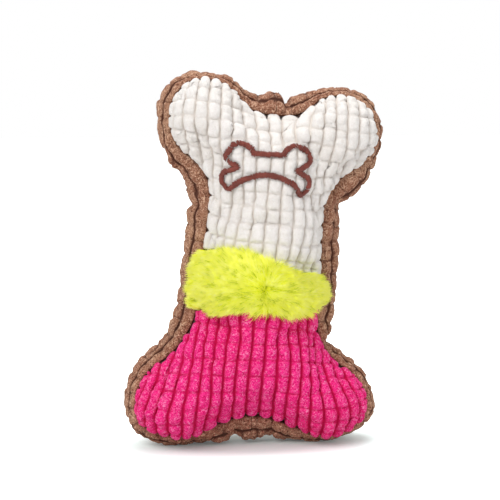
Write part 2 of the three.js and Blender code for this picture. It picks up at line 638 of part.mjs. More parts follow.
/** Tube in the neck, with a flange over its rim, two grip rings and a tapered nose. */
function squeakerPlug() {
  const nose = FLANGE_SEAT + PLUG_FLANGE - PLUG_LENGTH;
  const ring = (z) => [
    [PLUG_RADIUS, z],
    [PLUG_RADIUS + PLUG_BARB, z + PLUG_BARB],
    [PLUG_RADIUS, z + 4 * PLUG_BARB],
  ];
  const closed = [
    [PLUG_BORE, nose],
    [PLUG_RADIUS - PLUG_WALL / 2, nose],
    [PLUG_RADIUS, nose + PLUG_WALL],
    ...ring(BULB_BODY + NECK_LENGTH / 4),
    ...ring(BULB_BODY + NECK_LENGTH / 2),
    [PLUG_RADIUS, FLANGE_SEAT],
    [NECK_RADIUS, FLANGE_SEAT],
    [NECK_RADIUS, FLANGE_SEAT + PLUG_FLANGE],
    [PLUG_BORE, FLANGE_SEAT + PLUG_FLANGE],
    [PLUG_BORE, nose],
  ];
  return revolve(closed);
}

/** Half-round bar along the squeaker's axis, below (-1) or above (1) the reed, seen from the reed's edge. */
function halfRound(side, length) {
  const radius = PLUG_BORE - PLUG_FIT;
  const flat = REED_THICKNESS / 2 + REED_GAP;
  const edge = Math.asin(flat / radius);
  const section = new THREE.Shape();
  if (side > 0) section.absarc(0, 0, radius, edge, Math.PI - edge);
  else section.absarc(0, 0, radius, Math.PI + edge, 2 * Math.PI - edge);
  section.closePath();
  const bar = new THREE.ExtrudeGeometry(section, {
    depth: length, curveSegments: HALF_ROUND_STEPS, bevelEnabled: false });
  return bar.translate(0, 0, REED_ROOT - length);
}

/** Block with the air channel that the reed closes, blind towards the reed's root. */
function reedSeat() {
  const flat = -(REED_THICKNESS / 2 + REED_GAP);
  const foot = REED_ROOT - REED_SEAT_LENGTH;
  const channel = block(
    new THREE.Vector3(-CHANNEL_WIDTH / 2, flat - CHANNEL_DEPTH, foot - REED_GAP),
    new THREE.Vector3(CHANNEL_WIDTH / 2, flat + REED_GAP, REED_ROOT - CLAMP_LENGTH));
  return skin(solid(halfRound(-1, REED_SEAT_LENGTH)).subtract(channel));
}

/** Thin strip between the seat and the clamp, with a rounded tip. */
function squeakerReed() {
  const half = REED_WIDTH / 2;
  const tip = REED_ROOT - REED_LENGTH + half;
  const strip = new THREE.Shape();
  strip.moveTo(half, REED_ROOT);
  strip.lineTo(-half, REED_ROOT);
  strip.lineTo(-half, tip);
  strip.absarc(0, tip, half, Math.PI, 2 * Math.PI);
  strip.closePath();
  const bar = new THREE.ExtrudeGeometry(strip, {
    depth: REED_THICKNESS, curveSegments: REED_TIP_STEPS, bevelEnabled: false });
  return bar.rotateX(Math.PI / 2).translate(0, REED_THICKNESS / 2, 0);
}

/** Squeaker inside the shank, on its own axis, turned with the leaning toy. */
function squeaker() {
  const group = new THREE.Group();
  const foot = leanPoint(0, SQUEAKER_FOOT);
  group.position.set(foot.x, SQUEAKER_DEPTH, foot.y);
  group.rotation.y = LEAN;
  group.add(
    piece('squeaker_bulb', squeakerBulb(), MATERIALS.bulb),
    piece('squeaker_plug', squeakerPlug(), MATERIALS.reedParts),
    piece('reed_seat', reedSeat(), MATERIALS.reedParts),
    piece('squeaker_reed', squeakerReed(), MATERIALS.reed),
    piece('reed_clamp', halfRound(1, CLAMP_LENGTH), MATERIALS.reedParts),
  );
  return group;
}

/** Everything inside the cloth, clear of it, before it is parted into wads. */
function filling() {
  const inset = SEAM_GAP + CLOTH + FILL_CLEARANCE;
  const more = -(CLOTH + FILL_CLEARANCE);
  const front = domeRings(-1, inset, crownsOf(-1, more), COARSE_DOME_ANGLES).reverse();
  const back = domeRings(1, inset, crownsOf(1, more), COARSE_DOME_ANGLES);
  const edge = borderAngles(INNER_BORDER_STEPS).map((angle) =>
    SEAM.map((_, place) => borderPoint(place, angle, more)));
  return solid(loft([...front, ...edge, ...back], false));
}

/** Wads of fibre: one in each knob, and two that hold the squeaker between them in the shank. */
function stuffing() {
  const half = WAD_GAP / 2;
  const body = filling();
  const hole = solid(squeakerEnvelope(FILL_CLEARANCE).translate(0, SQUEAKER_DEPTH, SQUEAKER_FOOT));
  const region = ([x0, x1], [y0, y1], [z0, z1]) =>
    block(new THREE.Vector3(x0, y0, z0), new THREE.Vector3(x1, y1, z1));
  const left = [-BEYOND, -half];
  const right = [half, BEYOND];
  const whole = [-BEYOND, BEYOND];
  const above = [SHANK_HEAD.y + half, BEYOND];
  const between = [SHANK_FOOT.y + half, SHANK_HEAD.y - half];
  const below = [-BEYOND, SHANK_FOOT.y - half];
  const wads = {
    stuffing_upper_left: region(left, whole, above),
    stuffing_upper_right: region(right, whole, above),
    stuffing_lower_left: region(left, whole, below),
    stuffing_lower_right: region(right, whole, below),
    stuffing_shank_front: region(whole, [-BEYOND, SQUEAKER_DEPTH - half], between).subtract(hole),
    stuffing_shank_back: region(whole, [SQUEAKER_DEPTH + half, BEYOND], between).subtract(hole),
  };
  return Object.entries(wads).map(([name, part]) =>
    piece(name, lean(skin(body.intersect(part))), MATERIALS.fibre));
}

/** All the sewing. */
function sewing() {
  const topNotch = 0;
  const bottomNotch = SEAM.length / 2;
  return Object.entries({
    front_seam_thread: edgeThread(-1),
    back_seam_thread: edgeThread(1),
    band_upper_seam_thread: bandThread(bandTop),
    band_lower_seam_thread: bandThread(bandBottom),
    gusset_top_seam_thread: joinThread(topNotch),
    gusset_bottom_seam_thread: joinThread(bottomNotch),
  }).map(([name, geometry]) => piece(name, geometry, MATERIALS.thread));
}

const border = solid(borderCloth());
const toy = new THREE.Group();
toy.add(
  ...frontPanels(),
  piece('gusset_left', borderStrip(border, -1), MATERIALS.brown),
  piece('gusset_right', borderStrip(border, 1), MATERIALS.brown),
  piece('back_panel', lean(faceCloth(1, 0)), MATERIALS.brown),
  piece('embroidered_bone', embroideredBone(), MATERIALS.embroidery),
  ...sewing(),
  ...stuffing(),
  squeaker(),
);

// The origin is on the table, under the middle of the toy.
const extent = new THREE.Box3().setFromObject(toy);
const middle = extent.getCenter(new THREE.Vector3());
toy.position.set(-middle.x, -middle.y, -extent.min.z);

export default toy;
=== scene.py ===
"""Looks of a stuffed squeaking bone: corduroy and fur sewn into a bag round fibre and a squeaker.

Sizes are millimetres in the toy's own upright frame, with +Z up, the coloured front along -Y and the widest
line of the border at y = 0. Stance carries them into the shared frame, in metres.
"""

import logging
import math
from dataclasses import dataclass, field, replace
from enum import Enum
from typing import Callable

import bmesh
import bpy
import numpy as np
from mathutils import Matrix, Vector
from mathutils.bvhtree import BVHTree


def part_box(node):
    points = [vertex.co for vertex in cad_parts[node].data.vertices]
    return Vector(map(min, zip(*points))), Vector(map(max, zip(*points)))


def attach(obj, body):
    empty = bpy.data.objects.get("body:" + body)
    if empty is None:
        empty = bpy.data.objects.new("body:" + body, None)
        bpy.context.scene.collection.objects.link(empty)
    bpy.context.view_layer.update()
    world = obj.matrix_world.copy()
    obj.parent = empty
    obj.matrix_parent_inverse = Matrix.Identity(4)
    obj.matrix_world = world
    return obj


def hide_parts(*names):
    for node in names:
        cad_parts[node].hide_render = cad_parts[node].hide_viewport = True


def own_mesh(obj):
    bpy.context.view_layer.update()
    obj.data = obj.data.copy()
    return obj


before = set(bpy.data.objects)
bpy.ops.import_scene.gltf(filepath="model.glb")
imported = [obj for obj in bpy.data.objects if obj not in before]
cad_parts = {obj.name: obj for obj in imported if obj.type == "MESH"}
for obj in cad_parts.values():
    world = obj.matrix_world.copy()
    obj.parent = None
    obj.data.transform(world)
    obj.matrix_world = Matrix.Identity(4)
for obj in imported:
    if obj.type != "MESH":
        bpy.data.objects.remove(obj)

LOG = logging.getLogger("plush_bone")
MM = 0.001
TINY = 1e-12
TURN = 2 * math.pi
UP = np.array([0.0, 0.0, 1.0])
RIPPLE_SPREAD = (0.7, 1.6)
RIPPLE_LEVEL = 1.2
NOISE_MEAN = 0.5
Array = np.ndarray
Pair = tuple[float, float]
Triple = tuple[float, float, float]
Colour = Triple
Piece = bpy.types.Object
Material = bpy.types.Material
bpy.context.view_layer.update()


class Face(Enum):
    """The two large faces of the toy, by the sign of the way they look along Y."""

    FRONT = -1
    BACK = 1


class Body(Enum):
    """Bodies of the frame that pieces ride on."""

    BACK = "back"
    FRONT = "front"


class Slot(Enum):
    """Material slots of the record."""

    WHITE = "white_corduroy"
    FUR = "yellow_fur"
    PINK = "pink_corduroy"
    BROWN = "brown_corduroy"
    EMBROIDERY = "embroidery_thread"
    THREAD = "sewing_thread"
    FIBRE = "polyester_fibre"
    BULB = "bulb_plastic"
    PLUG = "plug_plastic"
    REED = "reed_film"


def smoothstep(low: float, high: float, value: Array) -> Array:
    """Eases values from 0 at low to 1 at high."""
    share = np.clip((value - low) / (high - low), 0.0, 1.0)
    return share * share * (3.0 - 2.0 * share)


def unit(vectors: Array) -> Array:
    """Vectors at length one."""
    return vectors / np.maximum(np.linalg.norm(vectors, axis=-1, keepdims=True), TINY)


def at_depth(flat: Array, depth: float) -> Array:
    """Places of X and Z, as points at one depth."""
    return np.stack([flat[:, 0], np.full(len(flat), depth), flat[:, 1]], axis=1)


def run_along(path: Array) -> Array:
    """Distance along a path at each of its points."""
    return np.concatenate([[0], np.cumsum(np.linalg.norm(np.diff(path, axis=0), axis=1))])


def bearing(start: Array, end: Array) -> float:
    """Angle of the way from one place to another."""
    return math.atan2(end[1] - start[1], end[0] - start[0])


def clockwise(start: float, end: float) -> float:
    """An end angle, as it is reached clockwise from a start angle."""
    return end - TURN if end > start else end


def counter(start: float, end: float) -> float:
    """An end angle, as it is reached counter-clockwise from a start angle."""
    return end + TURN if end < start else end


def everywhere(flat: Array) -> Array:
    """Distance from a seam across the cloth, where there is none."""
    return np.full(len(flat), np.inf)


def ripple(points: Array, wavelength: float, seed: int, waves: int = 9) -> Array:
    """Smooth uneven values, as of hand-sewn cloth.

    Args:
        points: Places, one a row.
        wavelength: Usual distance from crest to crest.
        seed: Which unevenness.
        waves: How many plain waves are summed.

    Returns:
        One value for each place, mostly from -1 to 1.
    """
    chance = np.random.default_rng(seed)
    ways = unit(chance.normal(size=(waves, points.shape[1])))
    ways *= TURN / (wavelength * chance.uniform(*RIPPLE_SPREAD, size=(waves, 1)))
    phases = chance.uniform(0, TURN, size=waves)
    return np.sin(points @ ways.T + phases).sum(axis=1) / math.sqrt(waves / RIPPLE_LEVEL)


def ring_numbers(count: int, wide: int) -> tuple[Array, Array]:
    """Vertex numbers of a closed ring of rows: the first of each face, and the same in the next row."""
    here = np.arange(count)[:, None] * wide + np.arange(wide - 1)[None]
    return here, np.roll(here, -1, axis=0)


def tube_walls(rings: int, sides: int) -> Array:
    """Quads of a tube whose vertices follow each other ring by ring.

    Args:
        rings: Number of rings.
        sides: Vertices of each ring.

    Returns:
        Rows of four vertices.
    """
    here = np.arange(sides)
    there = (here + 1) % sides
    wall = np.stack([here, there, there + sides, here + sides], axis=1)
    return np.concatenate([wall + low for low in range(0, (rings - 1) * sides, sides)])


@dataclass(frozen=True)
class Skin:
    """Mesh of a piece: its vertices, its four-sided and its three-sided faces."""

    points: Array
    quads: Array
    tris: Array = field(default_factory=lambda: np.zeros((0, 3), int))

    def normals(self) -> Array:
        """Outward unit normals at the vertices.

        Returns:
            One row for each vertex.
        """
        corners = [self.quads[:, [0, 1, 2]], self.quads[:, [0, 2, 3]], self.tris]
        faces = np.concatenate([c.reshape(-1, 3) for c in corners]).astype(int)
        a, b, c = (self.points[faces[:, k]] for k in range(3))
        across = np.cross(b - a, c - a)
        normals = np.zeros_like(self.points)
        for k in range(3):
            np.add.at(normals, faces[:, k], across)
        return unit(normals)

    def turned(self) -> "Skin":
        """The mesh with its faces the other way round."""
        return replace(self, quads=self.quads[:, ::-1], tris=self.tris[:, ::-1])

    def thick(self, inner: Array) -> "Skin":
        """Closes the mesh with an inner side and a rim.

        Args:
            inner: The same vertices on the inner side.

        Returns:
            The closed mesh.
        """
        count = len(self.points)
        edges = np.concatenate([
            faces[:, [k, (k + 1) % faces.shape[1]]]
            for faces in (self.quads, self.tris) for k in range(faces.shape[1])])
        key = np.sort(edges, axis=1) @ np.array([count, 1])
        _, first, times = np.unique(key, return_index=True, return_counts=True)
        start, end = edges[first[times == 1]].T
        rim = np.stack([end, start, start + count, end + count], axis=1)
        back = self.turned()
        quads = np.concatenate([self.quads, back.quads + count, rim])
        tris = np.concatenate([self.tris, back.tris + count])
        return Skin(np.concatenate([self.points, inner]), quads, tris)

    def piece(self, name: str, marks: dict[str, Array] | None = None, on_table: bool = False) -> Piece:
        """Puts the upright mesh into the scene, where the toy stands.

        Args:
            name: Name of the piece.
            marks: Values at the vertices that the finish reads, by name.
            on_table: True for cloth that the table presses flat.

        Returns:
            The piece, smooth.
        """
        mesh = bpy.data.meshes.new(name)
        placed = STANCE.place(self.points, on_table)
        mesh.from_pydata(placed.tolist(), [], self.quads.tolist() + self.tris.tolist())
        for key, values in (marks or {}).items():
            mesh.attributes.new(key, "FLOAT", "POINT").data.foreach_set("value", values.astype(np.float32))
        mesh.shade_smooth()
        obj = bpy.data.objects.new(name, mesh)
        bpy.context.scene.collection.objects.link(obj)
        return obj


class Chart:
    """A triangle mesh that is looked up by place, and gives values from its corners."""

    def __init__(self, places: Array, triangles: Array) -> None:
        """Holds the vertices, in the space where places are looked up, and rows of three of them."""
        self.places, self.triangles = places, triangles
        self.tree = BVHTree.FromPolygons(places.tolist(), triangles.tolist())

    def sample(self, queries: Array, values: Array) -> Array:
        """Values at the nearest points of the mesh, between the values of the corners.

        Args:
            queries: Places, one a row.
            values: One row for each vertex.

        Returns:
            One row for each place.
        """
        found = [self.tree.find_nearest(Vector(q)) for q in queries]
        near = np.array([f[0] for f in found])
        corners = self.triangles[[f[2] for f in found]]
        a, b, c = (self.places[corners[:, k]] for k in range(3))
        ab, ac, ap = b - a, c - a, near - a
        d00, d01, d11 = (ab * ab).sum(1), (ab * ac).sum(1), (ac * ac).sum(1)
        d20, d21 = (ap * ab).sum(1), (ap * ac).sum(1)
        area = np.maximum(d00 * d11 - d01 * d01, TINY)
        second = (d11 * d20 - d01 * d21) / area
        third = (d00 * d21 - d01 * d20) / area
        shares = np.stack([1 - second - third, second, third], axis=1)
        return (values[corners] * shares[:, :, None]).sum(axis=1)


@dataclass(frozen=True)
class Outline:
    """Places round the bone, clockwise from the top notch, as rows of X and Z.

    Each place has its inward normal, the point of the ridge that the cloth swells towards, and how far
    along that ridge from knob (0) to shank (1) it is.
    """

    point: Array
    inward: Array
    ridge: Array
    shank: Array


@dataclass(frozen=True)
class Cut:
    """Radii and half widths of one outline of the bone."""

    lower_radius: float
    upper_radius: float
    top_half: float
    bottom_half: float
    top_notch: float
    bottom_notch: float


@dataclass(frozen=True)
class Tug:
    """A place of an outline where loose cloth hangs or is tucked in, how far it moves, and its reach."""

    x: float
    z: float
    right: float
    up: float
    reach: float


@dataclass(frozen=True)
class BonePattern:
    """Sewing pattern of the bone: two outlines, and how far the faces swell."""

    crest_cut: Cut = Cut(28.6, 27.0, 42.0, 44.5, 40.0, 100.0)
    seam_cut: Cut = Cut(22.6, 21.0, 31.4, 33.9, 26.0, 64.0)
    lower_knob: Pair = (41.0, 28.6)
    upper_knob: Pair = (36.5, 183.6)
    shank_head: Pair = (0.0, 151.6)
    shank_foot: Pair = (0.0, 62.6)
    waist_top: float = 142.6
    waist_bottom: float = 81.6
    upper_fillet: float = 28.0
    lower_fillet: float = 40.0
    crest_tugs: tuple[Tug, ...] = (
        Tug(58.0, 150.0, 2.0, -12.0, 17.0), Tug(-58.0, 160.0, 2.0, -8.5, 18.0),
        Tug(44.0, 60.0, -5.5, 0.0, 13.0), Tug(-60.0, 200.0, -2.5, 1.2, 18.0),
    )
    seam_tugs: tuple[Tug, ...] = (
        Tug(-45.0, 203.0, -2.2, 3.2, 22.0), Tug(-46.0, 6.0, 0.0, 2.4, 20.0),
        Tug(0.0, 13.0, 0.0, 2.8, 16.0), Tug(0.0, 187.0, 0.0, 3.2, 14.0),
    )
    half_border: float = 12.0
    front_crowns: Pair = (19.0, 22.0)
    back_crowns: Pair = (17.0, 19.0)
    short_steps: int = 14
    knob_steps: int = 56
    flank_steps: int = 28

    def crowns(self, face: Face) -> Pair:
        """Swell of a face beyond its seam, at a knob and along the shank."""
        return self.front_crowns if face is Face.FRONT else self.back_crowns

    @staticmethod
    def _arc(centre: Array, radius: float, start: float, end: float, steps: int, inward: int) -> tuple:
        """Points, inward normals and shares of an arc, without its end.

        Args:
            centre: Middle of the arc.
            radius: Its radius.
            start: First angle.
            end: Last angle.
            steps: Number of places.
            inward: 1 where the toy lies outside the arc, -1 where it lies inside.

        Returns:
            Points, normals and shares.
        """
        share = np.arange(steps) / steps
        angle = start + (end - start) * share
        out = np.stack([np.cos(angle), np.sin(angle)], axis=1)
        return centre + radius * out, inward * out, share

    @staticmethod
    def _fillet(knob: Array, reach: float, start: Array, along: Array, sign: int) -> Array:
        """Centre of the arc between a flank and a knob.

        Args:
            knob: Centre of the knob.
            reach: Knob radius and fillet radius together.
            start: A point on the line of fillet centres beside the flank.
            along: Direction of the flank.
            sign: Which of the two crossings.

        Returns:
            The centre.
        """
        offset = start - knob
        b = offset @ along
        root = math.sqrt(b * b - offset @ offset + reach * reach)
        return start + along * (-b + sign * root)

    def seam(self) -> Outline:
        """Outline of the two seams that hold the faces."""
        return self._tugged(self._outline(self.seam_cut), self.seam_tugs)

    def crest(self) -> Outline:
        """Outline of the border at its widest."""
        return self._tugged(self._outline(self.crest_cut), self.crest_tugs)

    @staticmethod
    def _tugged(outline: Outline, tugs: tuple[Tug, ...]) -> Outline:
        """Outline once its loose cloth is pulled about.

        Args:
            outline: The plain outline.
            tugs: Where it is pulled.

        Returns:
            The outline with moved points.
        """
        point = outline.point.copy()
        for tug in tugs:
            away = np.linalg.norm(outline.point - [tug.x, tug.z], axis=1)
            point += np.exp(-(away / tug.reach) ** 2)[:, None] * [tug.right, tug.up]
        return replace(outline, point=point)

    def _outline(self, cut: Cut) -> Outline:
        """Places round the bone.

        Args:
            cut: Which outline.

        Returns:
            The places of both halves.
        """
        upper, lower = np.array(self.upper_knob), np.array(self.lower_knob)
        head, foot = np.array(self.shank_head), np.array(self.shank_foot)
        flank_top = np.array([cut.top_half, self.waist_top])
        along = unit(np.array([cut.bottom_half, self.waist_bottom]) - flank_top)
        outward = np.array([-along[1], along[0]])
        top = np.array([0, upper[1] + self._notch_reach(upper, cut.upper_radius, cut.top_notch)])
        bottom = np.array([0, lower[1] - self._notch_reach(lower, cut.lower_radius, cut.bottom_notch)])
        high = self._fillet(upper, cut.upper_radius + self.upper_fillet,
                            flank_top + outward * self.upper_fillet, along, 1)
        low = self._fillet(lower, cut.lower_radius + self.lower_fillet,
                           flank_top + outward * self.lower_fillet, along, -1)
        inner = counter(0, math.atan2(-outward[1], -outward[0]))
        top_from, low_from = bearing(upper, top), bearing(lower, low)
        share = np.arange(self.flank_steps) / self.flank_steps
        start, end = high - outward * self.upper_fillet, low - outward * self.lower_fillet
        flank = (start + (end - start) * share[:, None], np.tile(-outward, (len(share), 1)), share)
        short, knob = self.short_steps, self.knob_steps
        top_to, low_to = bearing(upper, high), bearing(lower, bottom)
        stretches = [
            (self._arc(top, cut.top_notch, -math.pi / 2, bearing(top, upper), short, 1), head, upper, 1, 0),
            (self._arc(upper, cut.upper_radius, top_from, clockwise(top_from, top_to), knob, -1),
             upper, upper, 0, 0),
            (self._arc(high, self.upper_fillet, counter(0, bearing(high, upper)), inner, short, 1),
             upper, head, 0, 1),
            (flank, head, foot, 1, 1),
            (self._arc(low, self.lower_fillet, inner, counter(inner, bearing(low, lower)), short, 1),
             foot, lower, 1, 0),
            (self._arc(lower, cut.lower_radius, low_from, clockwise(low_from, low_to), knob, -1),
             lower, lower, 0, 0),
            (self._arc(bottom, cut.bottom_notch, bearing(bottom, lower), math.pi / 2, short, 1),
             lower, foot, 0, 1),
            (self._arc(bottom, cut.bottom_notch, math.pi / 2, math.pi / 2, 1, 1), foot, foot, 1, 1),
        ]
        point = np.concatenate([s[0][0] for s in stretches])
        inward = np.concatenate([s[0][1] for s in stretches])
        ridge = np.concatenate([a + (b - a) * s[2][:, None] for s, a, b, _, _ in stretches])
        shank = np.concatenate([a + (b - a) * s[2] for s, _, _, a, b in stretches])
        flip = np.array([-1.0, 1.0])
        mirrored = (self._both(rows, flip) for rows in (point, inward, ridge))
        return Outline(*mirrored, self._both(shank, 1))

    @staticmethod
    def _notch_reach(knob: Array, radius: float, notch: float) -> float:
        """How far above or below its two knobs the centre of a notch's arc lies."""
        return math.sqrt((radius + notch) ** 2 - knob[0] ** 2)

    @staticmethod
    def _both(half: Array, sign: Array | int) -> Array:
        """Rows of one half of the outline, and of the other half."""
        return np.concatenate([half, half[1:-1][::-1] * sign])

    def dome(self, face: Face, inset: float, more: float, steps: int) -> Array:
        """Rings of a swelling face, from its rim to its ridge.

        Args:
            face: Which face.
            inset: Distance of the rim inside the seam.
            more: Added to the swell.
            steps: Rings after the first.

        Returns:
            Points, by place and ring.
        """
        seam = self.seam()
        knob, shank = self.crowns(face)
        angle = np.linspace(0, math.pi / 2, steps + 1)
        rim = seam.point + seam.inward * inset
        share = 1 - np.cos(angle)
        flat = rim[:, None] + (seam.ridge - rim)[:, None] * share[None, :, None]
        crown = knob + (shank - knob) * seam.shank + more
        depth = face.value * (self.half_border + crown[:, None] * np.sin(angle))
        return np.stack([flat[..., 0], depth, flat[..., 1]], axis=2)

    def border(self, places: Array, angles: Array, more: float) -> Array:
        """Points of the border's plain surface.

        Args:
            places: Places round the outline, as fractional numbers of its points.
            angles: Angles across the border, from front to back.
            more: How far outside the plain surface.

        Returns:
            Points, by place and angle.
        """
        seam, crest = self.seam().point, self.crest().point
        count = len(seam)
        first = np.floor(places).astype(int)
        share = (places - first)[:, None]

        def between(rows: Array) -> Array:
            """Rows at the places, between those of the outline's points."""
            return rows[first % count] * (1 - share) + rows[(first + 1) % count] * share

        root = between(seam)
        bulge = between(crest) - root
        length = np.linalg.norm(bulge, axis=1, keepdims=True)
        out = bulge / length
        reach = (length + more) * np.cos(angles)[None, :]
        flat = root[:, None] + out[:, None] * reach[..., None]
        depth = np.broadcast_to((self.half_border + more) * np.sin(angles), reach.shape)
        return np.stack([flat[..., 0], depth, flat[..., 1]], axis=2)


@dataclass(frozen=True)
class Stance:
    """How the upright toy stands in the shared frame: its feet spread, and it leans above them."""

    lean: float = math.radians(5.3)
    lean_from: float = 22.0
    lean_to: float = 66.0
    origin: Triple = (-2.4121, 4.9726, -0.07)
    foot_spread: float = 4.0
    foot_at: Pair = (62.0, 12.0)
    foot_reach: float = 20.0

    def place(self, points: Array, on_table: bool = False) -> Array:
        """Carries upright points into the shared frame.

        Args:
            points: Millimetres, one a row.
            on_table: True for cloth that the table presses flat.

        Returns:
            Metres, one a row.
        """
        x, y, z = points.T
        away = np.hypot(np.abs(x) - self.foot_at[0], z - self.foot_at[1])
        x = x + np.sign(x) * self.foot_spread * np.exp(-(away / self.foot_reach) ** 2)
        span = self.lean_to - self.lean_from
        radius = span / self.lean
        turn = self.lean * np.clip((z - self.lean_from) / span, 0, 1)
        straight = np.maximum(z - self.lean_to, 0) + np.minimum(z - self.lean_from, 0)
        leaned = np.stack([
            radius - (radius - x) * np.cos(turn) + straight * np.sin(turn),
            y,
            self.lean_from + (radius - x) * np.sin(turn) + straight * np.cos(turn),
        ], axis=1)
        moved = (leaned + np.array(self.origin)) * MM
        if on_table:
            moved[:, 2] = np.maximum(moved[:, 2], 0.0)
        return moved


PATTERN = BonePattern()
STANCE = Stance()


class ClothFace:
    """One swelling face of the toy, as a surface that flat cloth is laid on.

    Flat cloth keeps its length from the ridge to the rim, so that cords crowd together where the face turns
    away, as they do on the stuffed toy.
    """

    RINGS = 40
    BLOCK = 4000

    def __init__(self, face: Face, inset: float, more: float, bag: "StuffedBag") -> None:
        """Builds the surface.

        Args:
            face: Which face.
            inset: Distance of the rim inside the seam.
            more: Added to the swell.
            bag: The stuffed bag.
        """
        self.face = face
        self.bag = bag
        rings = PATTERN.dome(face, inset, more, self.RINGS)
        seam = PATTERN.seam()
        steps = np.linalg.norm(np.diff(rings, axis=1), axis=2)
        reach = np.concatenate([np.zeros((len(rings), 1)), np.cumsum(steps, axis=1)], axis=1)
        outward = unit(rings[:, 0][:, [0, 2]] - seam.ridge)
        left = reach[:, -1:] - reach
        flat = seam.ridge[:, None] + outward[:, None] * left[..., None]
        here, there = ring_numbers(*rings.shape[:2])
        triangles = np.concatenate([
            np.stack([here, there, there + 1], axis=2).reshape(-1, 3),
            np.stack([here, there + 1, here + 1], axis=2).reshape(-1, 3),
        ])
        self.rim = flat[:, 0]
        self.points = rings.reshape(-1, 3)
        self.on_cloth = Chart(at_depth(flat.reshape(-1, 2), 0.0), triangles)
        self.on_front = Chart(at_depth(self.points[:, [0, 2]], 0.0), triangles)

    def lay(self, flat: Array) -> Array:
        """Points on the toy for places on the flat cloth."""
        return self.on_cloth.sample(at_depth(flat, 0.0), self.points)

    def swollen(self, flat: Array) -> Array:
        """Points on the stuffed toy for places on the flat cloth."""
        return self.bag.swell(self.lay(flat))

    def seen_at(self, plane: Array) -> Array:
        """Points on the toy for places seen straight on."""
        return self.on_front.sample(at_depth(plane, 0.0), self.points)

    def inside(self, flat: Array) -> Array:
        """Distance of places on the flat cloth from its edge, positive inside.

        Args:
            flat: Places on the cloth.

        Returns:
            Signed distances.
        """
        start, end = self.rim, np.roll(self.rim, -1, axis=0)
        way = end - start
        length = np.maximum((way * way).sum(axis=1), TINY)
        result = np.empty(len(flat))
        for low in range(0, len(flat), self.BLOCK):
            p = flat[low:low + self.BLOCK, None]
            share = np.clip(((p - start) * way).sum(axis=2) / length, 0, 1)
            near = np.linalg.norm(p - start - way * share[..., None], axis=2).min(axis=1)
            level = (start[:, 1] > p[..., 1]) != (end[:, 1] > p[..., 1])
            rise = np.where(np.abs(way[:, 1]) < TINY, TINY, way[:, 1])
            cross = start[:, 0] + (p[..., 1] - start[:, 1]) * way[:, 0] / rise
            within = (level & (p[..., 0] < cross)).sum(axis=1) % 2 == 1
            result[low:low + self.BLOCK] = np.where(within, near, -near)
        return result


